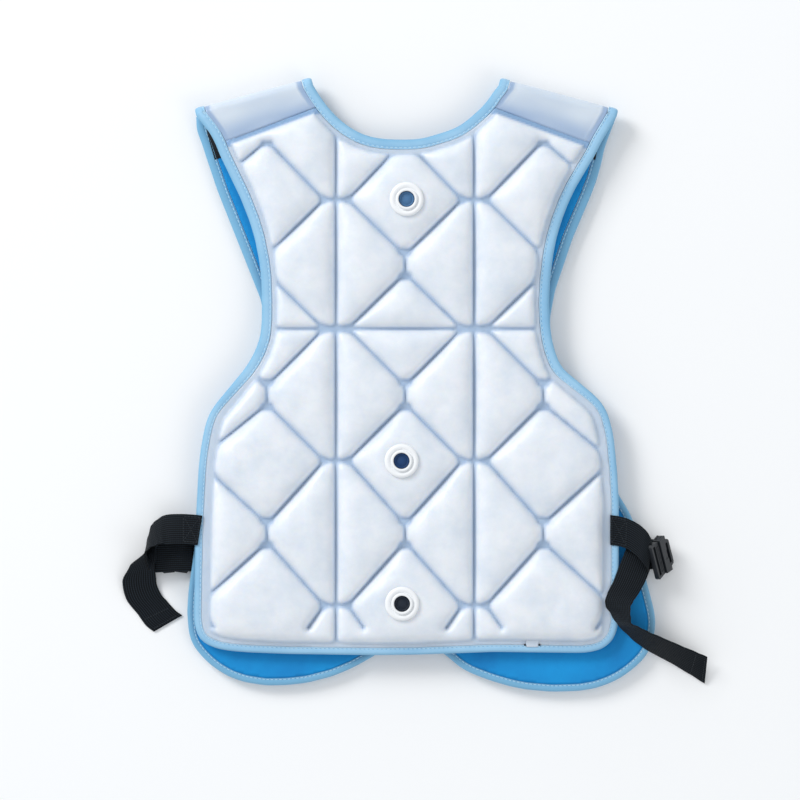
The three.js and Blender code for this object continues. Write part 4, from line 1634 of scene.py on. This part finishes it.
@dataclass
class Webbing:
    """A length of webbing along its route, stitched where it is sewn or hemmed."""

    layout: Layout
    side: Side
    name: str
    node: str
    route: list
    sewn: bool = False
    hemmed: bool = False
    width: float = 30 * MM
    thickness: float = 1.6 * MM
    strap_height: float = 126 * MM
    reach: float = 100 * MM
    per_row: int = 10
    seam: tuple = (1.5 * MM, 16.5 * MM)
    seam_half: float = 12.5 * MM
    hems: tuple = (3 * MM, 15 * MM)
    hem_half: float = 13.5 * MM
    stitch: tuple = (3 * MM, 2.2 * MM, 0.35 * MM)

    def edge(self) -> float:
        """Finds where the back's edge lies at the strap's height.

        Returns:
            The place across the vest.
        """
        co = node_points("back_edge_binding")
        level = self.layout.origin[1] + self.strap_height
        reached = []
        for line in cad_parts["back_edge_binding"].data.edges:
            a, b = co[line.vertices[0]], co[line.vertices[1]]
            if (a[1] > level) != (b[1] > level):
                reached.append(a[0] + (b[0] - a[0]) * (level - a[1]) / (b[1] - a[1]))
        return float(max(reached, key=lambda x: self.side.value * x))

    def path(self) -> tuple[np.ndarray, np.ndarray, np.ndarray]:
        """Lays a smooth curve through the route.

        Returns:
            Points, directions across and shares of the full width along it.
        """
        edge = self.edge()
        places = np.array([(edge + self.side.value * out * self.reach,
                            self.layout.origin[1] + self.strap_height + up * self.reach, z)
                           for out, up, z in (row[:3] for row in self.route)])
        angles = np.radians([row[3:5] for row in self.route])
        widths = np.array([[row[5] if len(row) > 5 else 1.0] for row in self.route])
        padded = np.vstack([2 * places[0] - places[1], places, 2 * places[-1] - places[-2]])
        fine, turns, shares = [], [], []
        for k, (before, a, b, after) in enumerate(zip(padded, padded[1:], padded[2:], padded[3:])):
            t = np.linspace(0, 1, self.per_row, endpoint=False)[:, None]
            fine.append(0.5 * (2 * a + (b - before) * t
                               + (2 * before - 5 * a + 4 * b - after) * t ** 2
                               + (3 * a - before - 3 * b + after) * t ** 3))
            ease = eased(t)
            turns.append(angles[k] * (1 - ease) + angles[k + 1] * ease)
            shares.append(widths[k] * (1 - ease) + widths[k + 1] * ease)
        heading, roll = np.vstack(turns + [angles[-1:]]).T
        across = np.column_stack([np.cos(heading) * np.cos(roll), np.sin(heading) * np.cos(roll),
                                  np.sin(roll)])
        return np.vstack(fine + [places[-1:]]), across, np.vstack(shares + [widths[-1:]])

    def build(self) -> None:
        """Makes the webbing and its rows of stitches."""
        line, across, wide = self.path()
        normal = unit(np.cross(unit(np.gradient(line, axis=0)), across))
        run = run_along(line)
        section = soft_section(self.width, self.thickness) - [self.width / 2, 0]
        rings = np.array([line[k] + np.outer(section[:, 0] * wide[k], across[k])
                          + np.outer(section[:, 1], normal[k]) for k in range(len(line))])
        verts, faces = loft(rings)
        uv = np.array([(a, s) for s in run for a in section[:, 0]])
        piece = mesh_piece(self.name, verts, faces, WEBBING.material(), uv=uv)
        if self.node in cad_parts:
            dress(piece, "webbing", self.node)
        else:
            dress(piece, "webbing")
        rows = []
        if self.sewn:
            (near, far), half = self.seam, self.seam_half
            rows += [(near, far, u, u) for u in (-half, half)]
            rows += [(s, s, -half, half) for s in (near, far)]
            rows += [(near, far, -half, half), (near, far, half, -half)]
        if self.hemmed:
            rows += [(run[-1] - d, run[-1] - d, -self.hem_half, self.hem_half) for d in self.hems]
        if rows:
            self.thread(rows, run, line, across, normal)

    def thread(self, rows: list, run: np.ndarray, line: np.ndarray, across: np.ndarray,
               normal: np.ndarray) -> None:
        """Rows of stitches on the webbing.

        Args:
            rows: Start and end of each row, along and across.
            run: Distance along at each point of the line.
            line: The webbing's middle.
            across: Directions across it.
            normal: Directions out of it.
        """
        verts, faces = [], []
        pitch, length, radius = self.stitch
        upward = 1 if normal[len(normal) // 2][2] > 0 else -1
        for s0, s1, u0, u1 in rows:
            whole = math.hypot(s1 - s0, u1 - u0)
            for k in range(int(whole / pitch)):
                ends = []
                for d in (k * pitch, k * pitch + length):
                    share = d / whole
                    s, u = s0 + (s1 - s0) * share, u0 + (u1 - u0) * share
                    at, side, up = (np.array([np.interp(s, run, v[:, c]) for c in range(3)])
                                    for v in (line, across, normal))
                    ends.append(at + side * u + upward * up * self.thickness / 2)
                way = (ends[1] - ends[0]) / np.linalg.norm(ends[1] - ends[0])
                flank = np.cross(upward * up, way)
                start = len(verts)
                for end in ends:
                    for corner in range(6):
                        angle = corner * math.pi / 3
                        verts.append(end + radius * (flank * math.cos(angle)
                                                     + upward * up * math.sin(angle)))
                for corner in range(6):
                    a, b = start + corner, start + (corner + 1) % 6
                    faces.append([a, b, b + 6, a + 6])
                faces += [[start + c for c in range(6)][::-1], [start + 6 + c for c in range(6)]]
        piece = mesh_piece(f"{self.name}_stitches", np.array(verts), faces, DARK_THREAD.material())
        dress(piece, "webbing")


@dataclass
class Buckle:
    """A side-release buckle, fastened: a plug whose two arms sit in a tapered socket."""

    side: Side
    thickness: float
    tilt: float
    drift: float
    start: tuple
    width: float = 38 * MM
    length: float = 36 * MM
    plate: float = 13 * MM
    far_width: float = 27 * MM
    rounding: float = 0.8 * MM
    smooth_below: float = 2 * MM ** 2

    def placed(self, points: np.ndarray) -> np.ndarray:
        """Puts points from the buckle's own frame into the vest's.

        Args:
            points: Places along, across and out of the buckle.

        Returns:
            The places on the vest.
        """
        s = self.side.value
        tilt, drift = math.radians(self.tilt), math.radians(self.drift)
        along = np.array([s * math.cos(tilt), 0, -math.sin(tilt)])
        out = np.array([s * math.sin(tilt), 0, math.cos(tilt)])
        across = np.array([0.0, 1.0, 0.0])
        length = along * math.cos(drift) - across * math.sin(drift)
        breadth = across * math.cos(drift) + along * math.sin(drift)
        return np.array(self.start) + points @ np.array([length, breadth, out])

    @staticmethod
    def mirrored(half: list) -> list:
        """A whole outline from its one half, which runs along the buckle."""
        return [(x, -y) for x, y in half] + half[::-1]

    @staticmethod
    def block(outline: list, low: float, high: float) -> bpy.types.Object:
        """A plain block over an outline, in the buckle's own frame.

        Args:
            outline: Places along and across the buckle.
            low: Its underside.
            high: Its top.

        Returns:
            The block.
        """
        flat = np.array(outline, float)
        x, y = flat[:, 0], flat[:, 1]
        if np.dot(x, np.roll(y, -1)) < np.dot(y, np.roll(x, -1)):
            flat = flat[::-1]
        count = len(flat)
        verts = np.vstack([np.column_stack([flat, np.full(count, low)]),
                           np.column_stack([flat, np.full(count, high)])])
        faces = [list(range(count))[::-1], list(range(count, 2 * count))]
        faces += [[k, (k + 1) % count, count + (k + 1) % count, count + k] for k in range(count)]
        return mesh_piece("block", verts, faces, BUCKLE_PLASTIC.material())

    def carve(self, name: str, node: str, solid: bpy.types.Object, cuts: list, adds: list) -> None:
        """Cuts and joins blocks, rounds the edges and puts the result in its place.

        Args:
            name: The piece's name.
            node: The node that it stands for.
            solid: The main block.
            cuts: Blocks to take away.
            adds: Blocks to join on.
        """
        for others, kind in ((cuts, "DIFFERENCE"), (adds, "UNION")):
            for other in others:
                step = solid.modifiers.new("carve", "BOOLEAN")
                step.operation, step.object, step.solver = kind, other, "EXACT"
        bevel = solid.modifiers.new("rounding", "BEVEL")
        bevel.width, bevel.segments, bevel.limit_method = self.rounding, 3, "ANGLE"
        bpy.context.view_layer.update()
        shaped = solid.evaluated_get(bpy.context.evaluated_depsgraph_get())
        co = np.zeros(len(shaped.data.vertices) * 3)
        shaped.data.vertices.foreach_get("co", co)
        faces = [list(p.vertices) for p in shaped.data.polygons]
        if self.side is Side.RIGHT:
            faces = [f[::-1] for f in faces]
        piece = mesh_piece(name, self.placed(co.reshape(-1, 3)), faces, BUCKLE_PLASTIC.material())
        for other in (solid, *cuts, *adds):
            bpy.data.objects.remove(other)
        for polygon in piece.data.polygons:
            polygon.use_smooth = polygon.area < self.smooth_below
        dress(piece, "buckle_plastic", node)

    def build(self) -> None:
        """Makes the plug and the socket."""
        half, t = self.width / 2, self.thickness / 2
        bar, slot, near = 2.6 * MM, 3.6 * MM, self.plate - 1 * MM
        plate = self.block(self.mirrored([(0, half - 2 * MM), (1.5 * MM, half),
                                          (self.plate, half - 1.5 * MM)]), -0.55 * t, 0.55 * t)
        through = self.block(self.mirrored([(bar, half - 3.5 * MM), (bar + slot, half - 3.5 * MM)]),
                             0, t * 2)
        ribs = [self.block(self.mirrored([(u, half - 5 * MM), (u + 0.9 * MM, half - 5 * MM)]),
                           0.3 * t, 0.72 * t) for u in (8 * MM, 10.2 * MM)]
        arms = [self.block([(near, s * (half - 7.5 * MM)), (24 * MM, s * (half - 4.5 * MM)),
                            (26 * MM, s * (half - 1.2 * MM)), (23 * MM, s * half),
                            (17 * MM, s * (half - 1 * MM)), (near, s * (half - 2.5 * MM))],
                           -0.42 * t, 0.42 * t) for s in (-1, 1)]
        self.carve(f"plug_{self.side.label}", f"buckle_{self.side.label}_plug", plate,
                   [through], ribs + arms)
        first, far, end = self.plate + 0.5 * MM, self.length, self.far_width / 2
        body = self.block(self.mirrored([
            (first, half - 1 * MM), (24 * MM, half), (far - 5 * MM, end + 1.5 * MM),
            (far - 1.5 * MM, end), (far, end - 2 * MM)]), -t, t)
        windows = [self.block([(15.5 * MM, s * (half - 8.3 * MM)), (25 * MM, s * (half - 5.3 * MM)),
                               (27.5 * MM, s * (half + 3 * MM)), (15.5 * MM, s * (half + 3 * MM))],
                              -0.55 * t, 0.55 * t) for s in (-1, 1)]
        eye = self.block(self.mirrored([(far - 6.8 * MM, end - 2.6 * MM),
                                        (far - 3.4 * MM, end - 2.6 * MM)]), 0, t * 2)
        press = self.block(self.mirrored([(17 * MM, 5 * MM), (24 * MM, 4 * MM)]),
                           t - 0.6 * MM, t * 2)
        self.carve(f"socket_{self.side.label}", f"buckle_{self.side.label}_socket", body,
                   windows + [eye, press], [])


# Small pieces and the stage


@dataclass
class Patch:
    """A hook-and-loop patch sewn to a front's inside, up to the tape at its edge."""

    layout: Layout
    side: Side
    corners: tuple = ((202.6, 537), (190.6, 495.2), (150, 512), (160, 551))
    height: float = 0.5 * MM

    def build(self) -> None:
        """Makes the patch."""
        base = node_box(f"front_shell_{self.side.label}")[1].z + 0.05 * MM
        s = self.side.value
        ring = self.layout.origin + np.array([(s * x, y) for x, y in self.corners]) * MM
        if s > 0:
            ring = ring[::-1]
        rings = np.array([np.column_stack([ring, np.full(len(ring), z)])
                          for z in (base, base + self.height)])
        verts, faces = loft(rings)
        piece = mesh_piece(f"hook_patch_{self.side.label}", verts, faces, PATCH.material())
        dress(piece, "hook_loop", f"shoulder_patch_{self.side.label}")


@dataclass
class FillTab:
    """The sealed mouth through which the pad was filled, flat on the hem's weld."""

    layout: Layout
    place: tuple = (127 * MM, 12 * MM)
    size: tuple = (12.5 * MM, 8 * MM)
    height: float = 0.9 * MM
    lift: float = 2.1 * MM
    pin: float = 1 * MM
    pin_place: tuple = (7.2 * MM, 2.2 * MM)
    pin_height: float = 1.4 * MM

    def build(self) -> None:
        """Makes the tab and the two pin marks beside it."""
        base = node_box("back_pad")[0].z + self.lift
        middle = self.layout.origin + self.place
        section = soft_section(self.size[0], self.height) - [self.size[0] / 2, 0]
        steps = np.linspace(-1, 1, 9)
        rings = [[(middle[0] + u * (1 - 0.12 * y * y), middle[1] + y * self.size[1] / 2,
                   base + self.height / 2 + w) for u, w in section[::-1]] for y in steps]
        verts, faces = loft(np.array(rings))
        dress(mesh_piece("fill_tab", verts, faces, BAND_FILM.material(),
                         weld=np.full(len(verts), 0.12)), "pad_film")
        for side in (-1, 1):
            centre = (middle[0] + side * self.pin_place[0],
                      middle[1] - self.size[1] / 2 + self.pin_place[1])
            ring = [(centre[0] + self.pin * math.cos(a), centre[1] + self.pin * math.sin(a))
                    for a in np.linspace(0, 2 * math.pi, 12, endpoint=False)]
            rings = [[(x, y, base + z) for x, y in ring] for z in (0, self.pin_height)]
            verts, faces = loft(np.array(rings))
            dress(mesh_piece(f"fill_mark_{'right' if side > 0 else 'left'}", verts, faces,
                             DARK_THREAD.material()), "valve_plastic")


@dataclass
class Stage:
    """The floor, the light and the camera at the photo's angle."""

    centre: tuple = (-19.7 * MM, -15.2 * MM)
    distance: float = 4.2
    field: float = 0.8
    level: float = 0.02
    half_floor: float = 6.0
    sensor: float = 36.0
    sky: tuple = (0.95, 0.975, 1, 1)
    sky_strength: float = 0.66
    lamps: tuple = (("key", (-3.6, 3.2, 3.2), 190, 2.2), ("fill", (3.0, -2.4, 3.4), 30, 2.6))

    def build(self) -> None:
        """Sets up the floor, the lights and the camera."""
        size, scene = self.half_floor, bpy.context.scene
        paint = MouldedPlastic("floor_paint_white", "#fafbfc", 0.9).material()
        mesh_piece("floor", np.array([(-size, -size, 0), (size, -size, 0),
                                               (size, size, 0), (-size, size, 0)]),
                            [[0, 1, 2, 3]], paint)
        scene.world = bpy.data.worlds.new("studio")
        scene.world.use_nodes = True
        sky = scene.world.node_tree.nodes["Background"].inputs
        sky["Color"].default_value, sky["Strength"].default_value = self.sky, self.sky_strength
        scene.view_settings.view_transform = "Standard"
        for name, place, power, breadth in self.lamps:
            light = bpy.data.lights.new(name, "AREA")
            light.energy, light.size = power, breadth
            lamp = bpy.data.objects.new(name, light)
            lamp.location = place
            lamp.rotation_euler = (-Vector(place)).to_track_quat("-Z", "Y").to_euler()
            scene.collection.objects.link(lamp)
        data = bpy.data.cameras.new("camera")
        data.sensor_width = self.sensor
        data.lens = self.sensor * (self.distance - self.level) / self.field
        camera = bpy.data.objects.new("camera", data)
        camera.location = (*self.centre, self.distance)
        scene.collection.objects.link(camera)
        scene.camera = camera


def strap_routes() -> dict[str, list]:
    """The webbing's routes by node.

    Returns:
        Rows of how far out and up from the strap's root, in decimetres, the height, the heading
        and roll of the width in degrees, and where it isn't 1 the share of the width.
    """
    h = Heights()
    return {
        "strap_right_back": [
            (-0.087, -0.01, h.binding, 90, 0), (0.008, -0.025, h.binding, 90, 0),
            (0.101, -0.055, h.binding + 2 * MM, 87, 0),
            (0.188, -0.110, h.binding + 5.5 * MM, 82, 0),
            (0.248, -0.170, h.binding + 8.6 * MM, 80, 0),
            (0.283, -0.225, h.binding + 8 * MM, 81, 0),
            (0.300, -0.265, h.binding + 4 * MM, 82, 0),
            (0.303, -0.285, h.binding - 1 * MM, 83, 0)],
        "strap_right_tail": [
            (0.205, -0.27, h.binding - 5.5 * MM, -29, 0),
            (0.128, -0.462, h.binding - 1 * MM, -16, 0),
            (0.077, -0.572, h.binding + 0.8 * MM, -8, 0),
            (0.001, -0.703, h.binding + 7.2 * MM, -6, 27),
            (-0.014, -0.773, h.binding + 9.6 * MM, -2, 38),
            (0.012, -0.855, h.binding + 12.6 * MM, -3, 54),
            (0.051, -0.944, h.binding + 10 * MM, 8, 66),
            (0.133, -1.007, h.flap + 16.5 * MM, 29, 63), (0.238, -1.083, h.flap + 14 * MM, 49, 58),
            (0.373, -1.158, h.flap + 11 * MM, 60, 52), (0.571, -1.256, h.floor + 14 * MM, 65, 48),
            (0.756, -1.352, h.floor + 10.2 * MM, 77, 38),
            (0.882, -1.422, h.floor + 6.8 * MM, 86, 24)],
        "strap_right_front": [
            (0.155, -0.26, h.under, 90, 0), (0.250, -0.26, h.under - 0.6 * MM, 90, 0),
            (0.350, -0.26, h.floor + 1.8 * MM, 90, 0), (0.445, -0.26, h.floor + 0.4 * MM, 90, 0)],
        "strap_left_back": [
            (-0.048, -0.015, h.binding, 81, 0), (0.020, -0.006, h.binding, 86, 0),
            (0.130, 0.00, h.binding - 0.5 * MM, 90, 0), (0.270, -0.005, h.binding - 3 * MM, 92, -8),
            (0.360, -0.030, h.binding - 8 * MM, 105, -37),
            (0.415, -0.065, h.binding - 10 * MM, 109, -48),
            (0.470, -0.140, h.binding - 9.5 * MM, 101, -68),
            (0.500, -0.225, h.binding - 9.4 * MM, 92, -82),
            (0.490, -0.285, h.binding - 9.8 * MM, 88, -75),
            (0.450, -0.300, h.binding - 14.5 * MM, 88, -38)],
        "strap_left_tail": [
            (0.380, -0.150, h.on_buckle + 2 * MM, 40, 0, 0.5),
            (0.452, -0.210, h.on_buckle + 3 * MM, 30, 20, 0.48),
            (0.535, -0.355, h.on_buckle + 3 * MM, 11, 12, 0.92),
            (0.570, -0.530, h.floor + 5 * MM, 3, 0, 1.14),
            (0.530, -0.685, h.floor + 1.4 * MM, 11, 0, 1.16),
            (0.440, -0.800, h.floor, 20, 0, 1.1), (0.360, -0.900, h.floor, 29, 0, 1.1),
            (0.285, -0.957, h.floor, 30, 0, 1.1)],
        "strap_left_loop": [
            (0.035, -0.280, h.on_buckle + 0.5 * MM, 90, 0), (0.130, -0.280, h.on_buckle + 1 * MM, 94, 3),
            (0.260, -0.285, h.on_buckle + 0.6 * MM, 97, -3), (0.415, -0.292, h.on_buckle, 92, 0)],
        "strap_left_front": [
            (-0.015, -0.26, h.under, 90, 0), (0.050, -0.26, h.under - 0.3 * MM, 90, 0),
            (0.074, -0.26, h.under - 0.6 * MM, 90, 0)],
    }


def main() -> None:
    """Builds the stage and the vest's sub-assemblies in order."""
    logging.basicConfig(level=logging.INFO, format="%(name)s: %(message)s")
    Stage().build()
    layout = Layout()
    seats = tuple(valve_seat(n)[:2] for n in (1, 2, 3))
    Quilt(layout, "back_quilt", "back_pad", Face.UP, crown=14 * MM, seats=seats,
          blown=True).build()
    ClothSheet(layout, "back_cloth", "back_shell", 0.0, "front_cloth_left").build()
    for side in Side:
        Quilt(layout, f"front_quilt_{side.label}", f"front_pad_{side.label}", Face.DOWN,
              crown=8 * MM, step=3 * MM).build()
        ClothSheet(layout, f"front_cloth_{side.label}", f"front_shell_{side.label}", 2.2 * MM,
                   f"front_quilt_{side.label}", f"shoulder_patch_{side.label}").build()
    tape = EdgeTape(layout)
    lines = tape.build_all()
    for side in Side:
        fold = ShoulderFold(layout, side, tape, lines)
        fold.build(f"shoulder_band_{side.label}", f"shoulder_film_{side.label}", "shoulder_film",
                   BAND_FILM, 6.75 * MM, 1.6 * MM, BAND_LEGS[0])
        fold.build(f"shoulder_lining_{side.label}", f"shoulder_cloth_{side.label}", "shell_cloth",
                   SHELL_CLOTH, 4.85 * MM, 1.6 * MM, 12.6 * MM)
        Patch(layout, side).build()
    for number in (1, 2, 3):
        Valve(number).build()
    for node, route in strap_routes().items():
        side = Side.RIGHT if "right" in node else Side.LEFT
        Webbing(layout, side, node.replace("strap", "webbing"), node, route,
                sewn=node.endswith("back"), hemmed=node.endswith("tail")).build()
    Buckle(Side.LEFT, 8 * MM, 0, 0, (-232.2 * MM, -170 * MM, 4.3 * MM)).build()
    Buckle(Side.RIGHT, 9 * MM, 54, -25, (233 * MM, -178 * MM, 29.5 * MM), length=29 * MM).build()
    FillTab(layout).build()
    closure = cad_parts["front_closure"].data
    closure.materials.clear()
    closure.materials.append(BINDING_TAPE.material())


if __name__ == "__main__":
    main()
